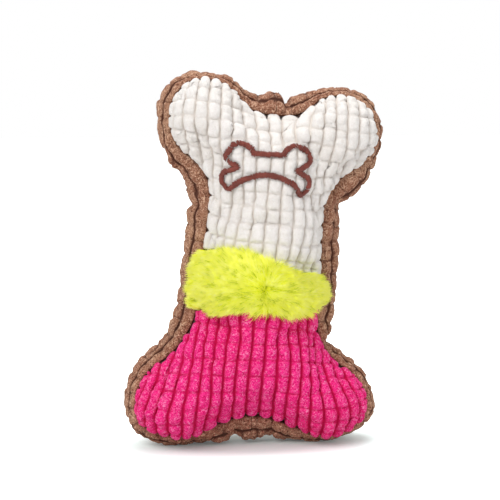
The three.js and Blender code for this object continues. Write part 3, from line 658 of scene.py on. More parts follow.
class StuffedBag:
    """The sewn cover as a bag that its filling swells, by a cloth simulation on a coarse copy of it.

    The pattern is already the size of the filled toy, so the usual swell is taken off again, and what stays
    is where the cloth lies fuller or flatter than that.
    """

    VOXEL = 5 * MM
    MERGE = 0.01 * MM
    QUALITY = 6
    PRESSURE = 4.0
    FRAMES = 20
    CAP = 3.2
    SEAM_REACH = 3.2
    SLACK = -0.05
    RINGS = 14
    BORDER_RINGS = 11
    FACE_FULL = 14.0
    BORDER_FULL = 10.0
    BORDER_SHARE = 0.5

    def __init__(self) -> None:
        self.chart: Chart | None = None
        self.moves: Array | None = None
        self._swell()

    def _coarse(self) -> Piece:
        """Closed bag of the two faces and the border, remeshed evenly.

        Returns:
            The bag's object.
        """
        count = len(PATTERN.seam().point)
        front = PATTERN.dome(Face.FRONT, 0.0, 0.0, self.RINGS)[:, ::-1]
        angles = np.linspace(-math.pi / 2, math.pi / 2, self.BORDER_RINGS)
        middle = PATTERN.border(np.arange(count), angles[1:-1], 0.0)
        back = PATTERN.dome(Face.BACK, 0.0, 0.0, self.RINGS)
        grid = np.concatenate([front, middle, back], axis=1)
        here, there = ring_numbers(*grid.shape[:2])
        quads = np.stack([here, here + 1, there + 1, there], axis=2).reshape(-1, 4)
        mesh = bpy.data.meshes.new("bag")
        mesh.from_pydata((grid.reshape(-1, 3) * MM).tolist(), [], quads.tolist())
        bag = bpy.data.objects.new("bag", mesh)
        bpy.context.scene.collection.objects.link(bag)
        remesh(bag, self.MERGE, self.VOXEL, outward=True)
        return bag

    def _swell(self) -> None:
        """Runs the simulation and keeps how far each point of the bag moved."""
        bag = self._coarse()
        rest = read_points(bag.data)
        seam = PATTERN.seam().point
        half = PATTERN.half_border
        lines = np.concatenate([at_depth(seam, side * half) for side in (-1, 1)])
        gap = np.array([np.linalg.norm(lines - p, axis=1).min() for p in rest / MM])
        held = bag.vertex_groups.new(name="seams")
        for index in np.nonzero(gap < self.SEAM_REACH)[0]:
            held.add([int(index)], 1.0, "REPLACE")
        cloth = bag.modifiers.new("swell", "CLOTH")
        cloth.settings.quality = self.QUALITY
        cloth.settings.use_pressure = True
        cloth.settings.uniform_pressure_force = self.PRESSURE
        cloth.settings.shrink_min = self.SLACK
        cloth.settings.effector_weights.gravity = 0.0
        cloth.settings.vertex_group_mass = held.name
        cloth.collision_settings.use_collision = False
        cloth.point_cache.frame_end = self.FRAMES
        for step in range(1, self.FRAMES + 1):
            bpy.context.scene.frame_set(step)
        swollen = bag.evaluated_get(bpy.context.evaluated_depsgraph_get())
        moves = (read_points(swollen.data) - rest) / MM
        far = np.linalg.norm(moves, axis=1, keepdims=True)
        moves *= np.minimum(1.0, self.CAP / np.maximum(far, TINY))
        bag.data.calc_loop_triangles()
        triangles = np.array([t.vertices for t in bag.data.loop_triangles])
        normals = Skin(rest, np.zeros((0, 4), int), triangles).normals()
        outward = (moves * normals).sum(axis=1)
        border = np.abs(rest[:, 1]) < half * MM
        for part, full in ((border, self.BORDER_FULL), (~border, self.FACE_FULL)):
            usual = outward[part & (gap > full)].mean()
            share = smoothstep(self.SEAM_REACH, full, gap[part])
            moves[part] -= normals[part] * (usual * share)[:, None]
        moves[border] *= self.BORDER_SHARE
        self.chart = Chart(rest / MM, triangles)
        self.moves = moves
        bpy.context.scene.frame_set(1)
        bpy.data.objects.remove(bag)

    def swell(self, points: Array) -> Array:
        """Points of the cover, moved as the bag swelled."""
        if self.chart is None:
            return points
        return points + self.chart.sample(points, self.moves)


def remesh(obj: Piece, merge: float, voxel: float, outward: bool = False) -> None:
    """Merges the doubles of a mesh and remeshes it evenly.

    Args:
        obj: Its object, which is left active and selected alone.
        merge: Distance of doubles.
        voxel: Size of the new faces.
        outward: True where its faces don't all point outwards yet.
    """
    bpy.ops.object.select_all(action="DESELECT")
    obj.select_set(True)
    bpy.context.view_layer.objects.active = obj
    bpy.ops.object.mode_set(mode="EDIT")
    bpy.ops.mesh.select_all(action="SELECT")
    bpy.ops.mesh.remove_doubles(threshold=merge)
    if outward:
        bpy.ops.mesh.normals_make_consistent(inside=False)
    bpy.ops.object.mode_set(mode="OBJECT")
    obj.data.remesh_voxel_size = voxel
    bpy.ops.object.voxel_remesh()


def read_points(mesh: bpy.types.Mesh) -> Array:
    """Vertices of a mesh, one a row."""
    return np.array([vertex.co for vertex in mesh.vertices], dtype=float)


def grid_corners(grid: Array) -> tuple[Array, Array, Array, Array]:
    """Values of a grid at the four corners of each of its cells."""
    return grid[:-1, :-1], grid[1:, :-1], grid[1:, 1:], grid[:-1, 1:]


def cut_cloth(columns: Array, rows: Array, inside: Array) -> Skin:
    """Cuts a grid of cloth along the line where a distance is zero.

    Args:
        columns: Places of the grid across.
        rows: Places of the grid upwards.
        inside: Signed distance from the cut at each grid point, by column and row.

    Returns:
        The cloth, with rows of two as its vertices.
    """
    numbers = np.full(inside.shape, -1)
    kept = inside > 0
    numbers[kept] = np.arange(kept.sum())
    where = np.argwhere(kept)
    places = [np.stack([columns[where[:, 0]], rows[where[:, 1]]], axis=1)]
    kept_corners = sum(c.astype(int) for c in grid_corners(kept))
    whole = kept_corners == 4
    quads = np.stack([c[whole] for c in grid_corners(numbers)], axis=1)
    crossings: dict[tuple, int] = {}
    added: list[Pair] = []
    tris: list[list[int]] = []
    closest = 0.04

    def crossing(a: tuple, b: tuple) -> int:
        """Finds or adds the vertex where the cut crosses a grid edge.

        Args:
            a: One end of the edge.
            b: The other end.

        Returns:
            The vertex's number.
        """
        edge = (a, b) if a < b else (b, a)
        if edge not in crossings:
            share = inside[a] / (inside[a] - inside[b])
            share = min(max(share, closest), 1 - closest)
            added.append((
                columns[a[0]] + (columns[b[0]] - columns[a[0]]) * share,
                rows[a[1]] + (rows[b[1]] - rows[a[1]]) * share,
            ))
            crossings[edge] = len(where) + len(added) - 1
        return crossings[edge]

    for i, j in np.argwhere((kept_corners > 0) & (kept_corners < 4)):
        ring = [(i, j), (i + 1, j), (i + 1, j + 1), (i, j + 1)]
        polygon = []
        for a, b in zip(ring, ring[1:] + ring[:1]):
            if kept[a]:
                polygon.append(int(numbers[a]))
            if kept[a] != kept[b]:
                polygon.append(crossing(a, b))
        tris += [[polygon[0], polygon[k], polygon[k + 1]] for k in range(1, len(polygon) - 1)]
    places.append(np.array(added).reshape(-1, 2))
    return Skin(np.concatenate(places), quads, np.array(tris, dtype=int).reshape(-1, 3))


@dataclass(frozen=True)
class Corduroy:
    """Grid corduroy: upright cords that are cut across into plump cells."""

    wale: float = 7.7
    row: float = 9.3
    relief: float = 2.7
    cord_share: float = 0.92
    roundness: float = 0.52
    boxiness: float = 2.1
    cross_cut: float = 0.46
    cut_width: float = 0.88
    pillow: float = 0.2
    row_wander: float = 0.07
    phase: float = 0.5
    seed: int = 1
    rows_per_cell: int = 15
    steps: int = 10
    patches: int = 64
    plumpness: Pair = (0.85, 1.08)
    cut_depth: Pair = (0.55, 1.3)
    end_power: int = 4
    margin: float = 1e-6

    def across(self) -> Array:
        """Places across one cord where the cloth is sampled, as shares of the way from groove to groove."""
        turn = np.linspace(0, math.pi, self.steps + 1)
        return np.concatenate([[0.0], 0.5 - 0.5 * self.cord_share * np.cos(turn)])

    def columns(self, low: float, high: float) -> Array:
        """Places across the cloth where it is sampled, close together at the grooves."""
        cords = np.arange(math.floor(low / self.wale), math.ceil(high / self.wale) + 1)
        return ((cords[:, None] + self.across()[None]).ravel() - self.phase) * self.wale

    def rows(self, low: float, high: float) -> Array:
        """Places along the cords where the cloth is sampled."""
        step = self.row / self.rows_per_cell
        return np.arange(low, high + step, step)

    def cord(self, across: Array) -> tuple[Array, Array]:
        """Cord at places across the cloth.

        Args:
            across: The places.

        Returns:
            Numbers of the cords, and the heights of their round sections there.
        """
        place = across / self.wale + self.phase
        number = np.floor(place + self.margin).astype(int)
        side = np.abs(2 * (place - number) - 1) / self.cord_share
        return number, np.clip(1 - side ** self.boxiness, 0, 1) ** self.roundness

    def height(self, across: Array, along: Array) -> Array:
        """Height of the pile.

        Args:
            across: Places across the cords.
            along: Places along the cords.

        Returns:
            Values from 0 in a groove to about 1 on a cord.
        """
        size = self.patches
        chance = np.random.default_rng(self.seed)
        jitter = chance.uniform(-self.row_wander, self.row_wander, size=(size, size))
        plump = chance.uniform(*self.plumpness, size=(size, size))
        depth = chance.uniform(*self.cut_depth, size=(size, size))
        number, body = self.cord(across)
        step = along / self.row
        cell = np.floor(step).astype(int)
        k, j = number % size, cell % size
        below = step - (cell + jitter[k, j])
        above = cell + 1 + jitter[k, (j + 1) % size] - step
        end = np.clip(1 - 2 * np.minimum(np.abs(below), np.abs(above)), 0, 1) ** self.end_power
        cut = sum(
            depth[k, (j + upper) % size] * np.exp(-(gap * self.row / self.cut_width) ** 2)
            for upper, gap in enumerate((below, above)))
        return body * plump[k, j] * (1 - self.pillow * end - self.cross_cut * cut)


class Shade:
    """A socket of a finish that takes part in Python sums."""

    def __init__(self, paint: "Paint", socket: bpy.types.NodeSocket) -> None:
        """Holds a socket of a paint's nodes."""
        self.paint = paint
        self.socket = socket

    def _maths(self, operation: str, first: "Shade | float", second: "Shade | float") -> "Shade":
        """One Math node."""
        return self.paint.node("Math", {"operation": operation}, {0: first, 1: second})[0]

    def __add__(self, other: "Shade | float") -> "Shade":
        """Sum."""
        return self._maths("ADD", self, other)

    __radd__ = __add__

    def __mul__(self, other: "Shade | float") -> "Shade":
        """Product."""
        return self._maths("MULTIPLY", self, other)

    __rmul__ = __mul__

    def __sub__(self, other: "Shade | float") -> "Shade":
        """Difference."""
        return self._maths("SUBTRACT", self, other)

    def __rsub__(self, other: "Shade | float") -> "Shade":
        """Difference from a number."""
        return self._maths("SUBTRACT", other, self)


class Paint:
    """The nodes of one material, or of the room's light."""

    MIX_INPUTS = (0, 6, 7)
    MIX_RESULT = 2

    def __init__(self, owner: Material | bpy.types.World) -> None:
        """Starts with no nodes.

        Args:
            owner: Material or world that has the nodes.
        """
        self.owner = owner
        owner.use_nodes = True
        self.tree = owner.node_tree
        self.tree.nodes.clear()

    def node(self, kind: str, settings: dict | None = None, sockets: dict | None = None) -> dict:
        """Adds a node.

        Args:
            kind: Blender's name of the node type, without its first word.
            settings: Properties of the node, set first.
            sockets: Values or shades of its inputs, by name or number.

        Returns:
            Its outputs as shades, by name and number.
        """
        node = self.tree.nodes.new(f"ShaderNode{kind}")
        for key, value in (settings or {}).items():
            setattr(node, key, value)
        for key, value in (sockets or {}).items():
            if isinstance(value, Shade):
                self.tree.links.new(value.socket, node.inputs[key])
            else:
                node.inputs[key].default_value = value
        return {key: Shade(self, out) for k, out in enumerate(node.outputs) for key in (k, out.name)}

    @staticmethod
    def _rgba(colour: Shade | Colour) -> Shade | tuple:
        """A colour with its alpha, or a shade as it is."""
        return colour if isinstance(colour, Shade) else (*colour, 1.0)

    def mix(self, factor: Shade | float, first: Shade | Colour, second: Shade | Colour) -> Shade:
        """Colour between two colours."""
        sockets = dict(zip(self.MIX_INPUTS, (factor, self._rgba(first), self._rgba(second))))
        return self.node("Mix", {"data_type": "RGBA"}, sockets)[self.MIX_RESULT]

    def mark(self, name: str) -> Shade:
        """Value that the piece's mesh holds at its vertices."""
        return self.node("Attribute", {"attribute_name": name})["Fac"]

    def grain(self, size: float, detail: float = 2.0, stretch: Triple = (1, 1, 1),
              curl: float = 0.0) -> Shade:
        """Uneven value over the piece.

        Args:
            size: Usual size of a patch, in millimetres.
            detail: Finer levels.
            stretch: Relative fineness along X, Y and Z.
            curl: How much the patches are curled.

        Returns:
            Values about 0.5.
        """
        place = self.node("TexCoord")["Object"]
        if stretch != (1, 1, 1):
            place = self.node("Mapping", {}, {"Vector": place, "Scale": stretch})[0]
        return self.node("TexNoise", {}, {
            "Vector": place, "Scale": 1 / (size * MM), "Detail": detail, "Roughness": 0.6,
            "Distortion": curl})["Fac"]

    def steep(self, value: Shade, low: float, high: float) -> Shade:
        """Share of the way from low to high, held between 0 and 1."""
        sockets = {"Value": value, "From Min": low, "From Max": high}
        return self.node("MapRange", {"interpolation_type": "SMOOTHSTEP"}, sockets)[0]

    def bump(self, height: Shade, strength: float, distance: float) -> Shade:
        """Normal of an uneven surface, with its distance in millimetres."""
        sockets = {"Height": height, "Strength": strength, "Distance": distance * MM}
        return self.node("Bump", {}, sockets)["Normal"]

    def finish(self, sockets: dict) -> Material:
        """Closes the material with its shader.

        Args:
            sockets: Values or shades of the shader's inputs.

        Returns:
            The material.
        """
        shader = self.node("BsdfPrincipled", {}, sockets)
        self.node("OutputMaterial", {}, {"Surface": shader["BSDF"]})
        return self.owner


@dataclass(frozen=True)
class CorduroyFinish:
    """Short curled pile with dark flecks, light flecks partly painted sheen, and painted shade in its
    grooves.
    """

    name: str
    pile: Colour
    # groove colour, darker than the pile: painted shade in the grooves
    groove: Colour
    # pale flecks of the pile, partly painted sheen; also the tint of the real sheen
    pale_fleck_and_sheen: Colour
    dark_fleck: Colour
    worn: Colour
    pale_fleck_and_sheen_share: float
    dark_share: float
    fleck: float
    round_to: float
    nap: float
    nap_strength: float = 0.7
    nap_shares: Pair = (0.8, 0.4)
    curl: float = 1.6
    lump: float = 3.2
    lump_share: float = 0.3
    patch: float = 30.0
    round_from: float = 0.08
    worn_over: Pair = (0.42, 0.66)
    dark_over: Pair = (0.46, 0.36)
    light_over: Pair = (0.51, 0.63)
    light_shares: Pair = (0.75, 0.25)

    def material(self) -> Material:
        """Builds the material.

        Returns:
            The material.
        """
        paint = Paint(bpy.data.materials.new(self.name))
        relief = paint.mark("relief")
        curls = paint.grain(self.fleck, curl=self.curl)
        fine = paint.grain(self.fleck / 2)
        lumps = paint.grain(self.lump)
        patch = paint.grain(self.patch, 1.0)
        depth = paint.steep(relief + (lumps - NOISE_MEAN) * self.lump_share, self.round_from, self.round_to)
        tone = paint.mix(paint.steep(patch, *self.worn_over), self.pile, self.worn)
        # painted shade: towards the grooves the colour goes over to the darker groove colour
        body = paint.mix(depth, self.groove, tone)
        dark = paint.steep(curls, *self.dark_over) * self.dark_share
        spots = curls * self.light_shares[0] + fine * self.light_shares[1]
        # pale flecks kept off the grooves: the pile's own flecks, partly painted sheen on the crests
        light = paint.steep(spots, *self.light_over) * depth * self.pale_fleck_and_sheen_share
        nap = curls * self.nap_shares[0] + fine * self.nap_shares[1]
        flecked = paint.mix(light, paint.mix(dark, body, self.dark_fleck), self.pale_fleck_and_sheen)
        return paint.finish({
            "Base Color": flecked,
            "Roughness": 0.92,
            "Specular IOR Level": 0.18,
            "Sheen Weight": 0.08,
            "Sheen Roughness": 0.45,
            "Sheen Tint": (*self.pale_fleck_and_sheen, 1.0),
            "Normal": paint.bump(nap, self.nap_strength, self.nap),
        })


@dataclass(frozen=True)
class FurFinish:
    """Long soft neon pile with painted shade at its roots, painted highlights at its tips, and a painted
    glow.
    """

    name: str
    # root colour: painted shade deep in the pile
    root: Colour
    middle: Colour
    # paler tip colour: painted highlight on the hair ends
    tip: Colour
    streak_highlight: Colour
    # strength of the painted glow
    glow: float
    root_over: Pair = (0.05, 0.5)
    tip_over: Pair = (0.55, 1.0)
    shaded_clumps_over: Pair = (0.42, 0.14)
    shaded_clumps_share: float = 0.75
    streak_highlight_over: Pair = (0.6, 0.9)
    streak_highlight_share: float = 0.8

    def material(self) -> Material:
        """Builds the material.

        Returns:
            The material.
        """
        paint = Paint(bpy.data.materials.new(self.name))
        along = paint.mark("along")
        shade = paint.mark("shade")
        # painted shade: darker towards the roots
        lower = paint.mix(paint.steep(along, *self.root_over), self.root, self.middle)
        # painted highlight: paler towards the tips
        body = paint.mix(paint.steep(along, *self.tip_over), lower, self.tip)
        # painted shade in random clumps, which take the root colour
        shaded_clumps = paint.steep(shade, *self.shaded_clumps_over) * self.shaded_clumps_share
        # painted highlight in random paler streaks
        light = paint.steep(shade, *self.streak_highlight_over) * self.streak_highlight_share
        streaked = paint.mix(light, paint.mix(shaded_clumps, body, self.root), self.streak_highlight)
        return paint.finish({
            "Base Color": streaked,
            "Roughness": 0.62,
            "Specular IOR Level": 0.25,
            # painted glow: the fur sends out its own colour as light, though it is no lamp
            "Emission Color": streaked,
            "Emission Strength": self.glow,
        })


@dataclass(frozen=True)
class ThreadFinish:
    """Twisted thread with a soft gloss."""

    name: str
    colour: Colour
    bright: Colour
    gloss: float
    strand: float = 0.5
    patch: float = 5.0
    shares: Pair = (0.6, 0.4)
    bright_over: Pair = (0.4, 0.66)

    def material(self) -> Material:
        """Builds the material.

        Returns:
            The material.
        """
        paint = Paint(bpy.data.materials.new(self.name))
        strand = paint.grain(self.strand)
        patch = paint.grain(self.patch, 1.0)
        tone = strand * self.shares[0] + patch * self.shares[1]
        colour = paint.mix(paint.steep(tone, *self.bright_over), self.colour, self.bright)
        return paint.finish({
            "Base Color": colour,
            "Roughness": self.gloss,
            "Specular IOR Level": 0.3,
            "Sheen Weight": 0.05,
            "Normal": paint.bump(strand, 0.4, 0.2),
        })


@dataclass(frozen=True)
class FibreFinish:
    """Loose crimped fibre, in soft strands."""

    name: str
    colour: Colour
    shadow: Colour
    strand: float = 1.2
    strand_detail: float = 5.0
    strand_stretch: Triple = (1.0, 2.6, 0.6)
    tuft: float = 7.0
    light_over: Pair = (0.36, 0.6)

    def material(self) -> Material:
        """Builds the material.

        Returns:
            The material.
        """
        paint = Paint(bpy.data.materials.new(self.name))
        strands = paint.grain(self.strand, self.strand_detail, self.strand_stretch)
        tufts = paint.grain(self.tuft)
        light = paint.steep(strands * 0.5 + tufts * 0.5, *self.light_over)
        colour = paint.mix(light, self.shadow, self.colour)
        return paint.finish({
            "Base Color": colour,
            "Roughness": 0.95,
            "Sheen Weight": 0.3,
            "Normal": paint.bump(strands + tufts, 0.7, 1.6),
        })


@dataclass(frozen=True)
class PlasticFinish:
    """Moulded plastic with faint flow marks."""

    name: str
    colour: Colour
    worn: Colour
    roughness: float
    clear: float
    flow: float = 9.0
    flow_detail: float = 3.0
    flow_stretch: Triple = (1.0, 1.0, 0.35)
    flow_gloss: float = 0.15
    grit: float = 0.7
    worn_over: Pair = (0.4, 0.7)
    scatter: float = 2 * MM

    def material(self) -> Material:
        """Builds the material.

        Returns:
            The material.
        """
        paint = Paint(bpy.data.materials.new(self.name))
        flow = paint.grain(self.flow, self.flow_detail, self.flow_stretch)
        fine = paint.grain(self.grit)
        colour = paint.mix(paint.steep(flow, *self.worn_over), self.colour, self.worn)
        return paint.finish({
            "Base Color": colour,
            "Roughness": self.roughness + (flow - NOISE_MEAN) * self.flow_gloss,
            "Transmission Weight": self.clear,
            "Subsurface Weight": 0.1,
            "Subsurface Radius": (self.scatter, self.scatter, self.scatter),
            "Normal": paint.bump(fine * 0.5 + flow, 0.12, 0.3),
        })


class Finishes:
    """The finishes of the toy, each made once."""

    KINDS = {
        # groove colours are painted shade in the grooves; the light flecks are partly painted sheen
        Slot.WHITE: CorduroyFinish(
            "white corduroy", pile=(0.93, 0.89, 0.855), groove=(0.82, 0.755, 0.695),
            pale_fleck_and_sheen=(0.96, 0.935, 0.915), dark_fleck=(0.84, 0.79, 0.745), worn=(0.9, 0.855, 0.81),
            pale_fleck_and_sheen_share=0.75, dark_share=0.7, fleck=1.3, round_to=0.6, nap=1.7),
        Slot.PINK: CorduroyFinish(
            "pink corduroy", pile=(0.96, 0.024, 0.255), groove=(0.64, 0.002, 0.08),
            pale_fleck_and_sheen=(1.0, 0.25, 0.5), dark_fleck=(0.6, 0.002, 0.095), worn=(0.93, 0.022, 0.225),
            pale_fleck_and_sheen_share=0.95, dark_share=0.9, fleck=1.45, round_to=0.75, nap=1.5),
        Slot.BROWN: CorduroyFinish(
            "brown corduroy", pile=(0.33, 0.145, 0.088), groove=(0.08, 0.029, 0.018),
            pale_fleck_and_sheen=(0.74, 0.48, 0.33), dark_fleck=(0.095, 0.033, 0.021), worn=(0.42, 0.22, 0.135),
            pale_fleck_and_sheen_share=0.9, dark_share=0.85, fleck=1.5, round_to=0.6, nap=1.5),
        # fur: root colour and darker clumps are painted shade, tip and streak colours painted highlights,
        # the glow painted light
        Slot.FUR: FurFinish("yellow fur", (0.4, 0.48, 0.003), (0.86, 0.89, 0.03), (0.94, 0.94, 0.16),
                            (0.96, 0.96, 0.32), 0.2),
        Slot.EMBROIDERY: ThreadFinish("embroidery thread", (0.12, 0.021, 0.013), (0.24, 0.05, 0.033), 0.5),
        Slot.THREAD: ThreadFinish("sewing thread", (0.09, 0.034, 0.024), (0.19, 0.08, 0.055), 0.6),
        Slot.FIBRE: FibreFinish("polyester fibre", (0.9, 0.89, 0.86), (0.68, 0.67, 0.64)),
        Slot.BULB: PlasticFinish("bulb plastic", (0.83, 0.82, 0.75), (0.74, 0.73, 0.66), 0.42, 0.15),
        Slot.PLUG: PlasticFinish("plug plastic", (0.69, 0.67, 0.6), (0.6, 0.58, 0.51), 0.38, 0.0),
        Slot.REED: PlasticFinish("reed film", (0.52, 0.65, 0.72), (0.45, 0.57, 0.64), 0.2, 0.35),
    }

    def __init__(self) -> None:
        """Starts with no material made."""
        self.made: dict[Slot, Material] = {}

    def dress(self, obj: Piece, slot: Slot) -> None:
        """Gives a piece its finish.

        Args:
            obj: The piece.
            slot: Its slot.
        """
        if slot not in self.made:
            self.made[slot] = self.KINDS[slot].material()
        obj.data.materials.clear()
        obj.data.materials.append(self.made[slot])


FINISHES = Finishes()


@dataclass(frozen=True)
class Squeeze:
    """How far the front is pressed in, for soft pieces that ride on the toy's bodies."""

    travel: float = 14.0

    def give(self, obj: Piece, body: Body, front: Pair, back: Pair) -> None:
        """Rides a piece on a body and gives it a mesh of its own.

        Args:
            obj: The piece.
            body: What it rides on.
            front: Depth of its front end in the shared frame and how far that end moves, in millimetres.
            back: The same of its back end.
        """
        carried = self.travel if body is Body.FRONT else 0.0
        slope = (front[1] - back[1]) / (back[0] - front[0])
        anchor = front[0] + (front[1] - carried) / slope
        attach(obj, body.value)
        anchor * MM
        1 - slope
        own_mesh(obj)


SQUEEZE = Squeeze()
SEAM_DEPTH = -PATTERN.half_border + STANCE.origin[1]
CROWN_DEPTH = SEAM_DEPTH - PATTERN.front_crowns[1]


def give_front(obj: Piece) -> None:
    """Lets a piece of the front follow the squeeze, riding on the front."""
    SQUEEZE.give(obj, Body.FRONT, (CROWN_DEPTH, SQUEEZE.travel), (SEAM_DEPTH, 0.0))


@dataclass
class Badge:
    """Satin-stitched outline of a bone on the upper panel."""

    drop: float = 21.8
    offset: float = -4.9
    upper_lobe: Triple = (15.2, 5.1, 7.1)
    lower_lobe: Triple = (16.9, -6.6, 6.8)
    top: float = 7.5
    foot_radius: float = 25.0
    foot_apex: float = -3.5
    pinch: Triple = (4.6, -0.7, 2.7)
    pinch_from: Pair = (10.0, 17.0)
    width: float = 3.0
    thread: float = 0.5
    pitch: float = 0.5
    slant: float = math.radians(24)
    rise: float = 0.75
    seat: float = 2.3
    steps: int = 5
    sides: int = 5
    arc_steps: int = 60
    seed: int = 31
    lean_wander: float = 0.1
    width_wander: float = 0.17
    arch: float = 2.4
    plump: float = 1.12
    least: float = 0.25

    @staticmethod
    def _spread(near: float, far: float, gap: float) -> float:
        """Angle at one circle's centre, from the other's centre to where the two cross."""
        return math.acos((gap ** 2 + near ** 2 - far ** 2) / (2 * gap * near))

    def _arc(self, x: float, z: float, radius: float, start: float, end: float) -> Array:
        """Places along an arc."""
        turn = np.linspace(start, end, self.arc_steps)
        return np.stack([x + radius * np.cos(turn), z + radius * np.sin(turn)], axis=1)

    def outline(self) -> Array:
        """Closed path of the bone as seen from the front.

        Returns:
            Places of X and Z, evenly close.
        """
        ux, uz, ur = self.upper_lobe
        lx, lz, lr = self.lower_lobe
        foot = self.foot_apex - self.foot_radius
        start = math.pi - math.asin((self.top - uz) / ur)
        apart, heading = math.hypot(lx - ux, lz - uz), math.atan2(lz - uz, lx - ux)
        upper, lower = self._spread(ur, lr, apart), self._spread(lr, ur, apart)
        reach = math.hypot(lx, lz - foot)
        meet = math.atan2(lz - foot, lx) - self._spread(self.foot_radius, lr, reach)
        meet_x, meet_z = self.foot_radius * math.cos(meet), foot + self.foot_radius * math.sin(meet)
        right = np.concatenate([
            self._arc(ux, uz, ur, start, heading + upper),
            self._arc(lx, lz, lr, heading + math.pi - lower, math.atan2(meet_z - lz, meet_x - lx)),
            self._arc(0, foot, self.foot_radius, meet, math.pi / 2),
        ])
        inward, waist, reach = self.pinch
        pinched = np.exp(-((right[:, 1] - waist) / reach) ** 2) * smoothstep(*self.pinch_from, right[:, 0])
        right[:, 0] -= inward * pinched
        rough = np.concatenate([right, right[-2::-1] * np.array([-1, 1])])
        rough = np.concatenate([rough, rough[:1]])
        run = run_along(rough)
        even = np.linspace(0, run[-1], int(run[-1] / self.pitch), endpoint=False)
        path = np.stack([np.interp(even, run, rough[:, k]) for k in range(2)], axis=1)
        return path + np.array([self.offset, PATTERN.upper_knob[1] - self.drop])

    def build(self, surface: ClothFace) -> Piece:
        """Lays the stitches.

        Args:
            surface: The front.

        Returns:
            The piece.
        """
        path = self.outline()
        chance = np.random.default_rng(self.seed)
        centre = surface.bag.swell(surface.seen_at(path))
        near = 0.6
        ahead = surface.bag.swell(surface.seen_at(path + [near, 0])) - centre
        above = surface.bag.swell(surface.seen_at(path + [0, near])) - centre
        normal = unit(np.cross(ahead, above))
        along = unit(np.roll(centre, -2, axis=0) - np.roll(centre, 2, axis=0))
        sideways = unit(np.cross(along, normal))
        lean = self.slant + chance.normal(0, self.lean_wander, size=(len(path), 1))
        way = unit(sideways * np.cos(lean) + along * np.sin(lean))
        half = self.width / 2 + chance.normal(0, self.width_wander, size=(len(path), 1))
        share = np.linspace(-1, 1, self.steps + 1)
        lift = self.rise * (1 - np.abs(share) ** self.arch)
        spine = centre[:, None] + way[:, None] * (half / np.cos(lean) * share)[..., None]
        spine = spine + normal[:, None] * (self.seat + lift)[None, :, None]
        girth = self.thread * np.sqrt(np.clip(self.plump - share ** 4, self.least, 1))
        across = unit(np.cross(way, normal))
        stitches = thread_tubes(spine, across, normal, girth, self.sides)
        obj = stitches.piece("embroidered_bone_stitches")
        FINISHES.dress(obj, Slot.EMBROIDERY)
        give_front(obj)
        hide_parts("embroidered_bone")
        return obj


def thread_tubes(spine: Array, first: Array, second: Array, girth: Array, sides: int) -> Skin:
    """Many short closed tubes of thread.

    Args:
        spine: Middle lines of the tubes, by tube and ring.
        first: One direction across each tube.
        second: The other direction.
        girth: Radius at each ring.
        sides: Vertices of each ring.

    Returns:
        Their mesh.
    """
    angle = np.linspace(0, TURN, sides, endpoint=False)
    ring = first[:, None] * np.cos(angle)[None, :, None] + second[:, None] * np.sin(angle)[None, :, None]
    points = spine[:, :, None] + ring[:, None] * girth[None, :, None, None]
    count, rings = spine.shape[:2]
    fan = np.arange(1, sides - 1)
    last = (rings - 1) * sides
    caps = np.concatenate([
        np.stack([np.zeros_like(fan), fan + 1, fan], axis=1),
        np.stack([np.full_like(fan, last), last + fan, last + fan + 1], axis=1),
    ])
    starts = (np.arange(count) * rings * sides)[:, None, None]
    quads = (tube_walls(rings, sides) + starts).reshape(-1, 4)
    return Skin(points.reshape(-1, 3), quads, (caps + starts).reshape(-1, 3))


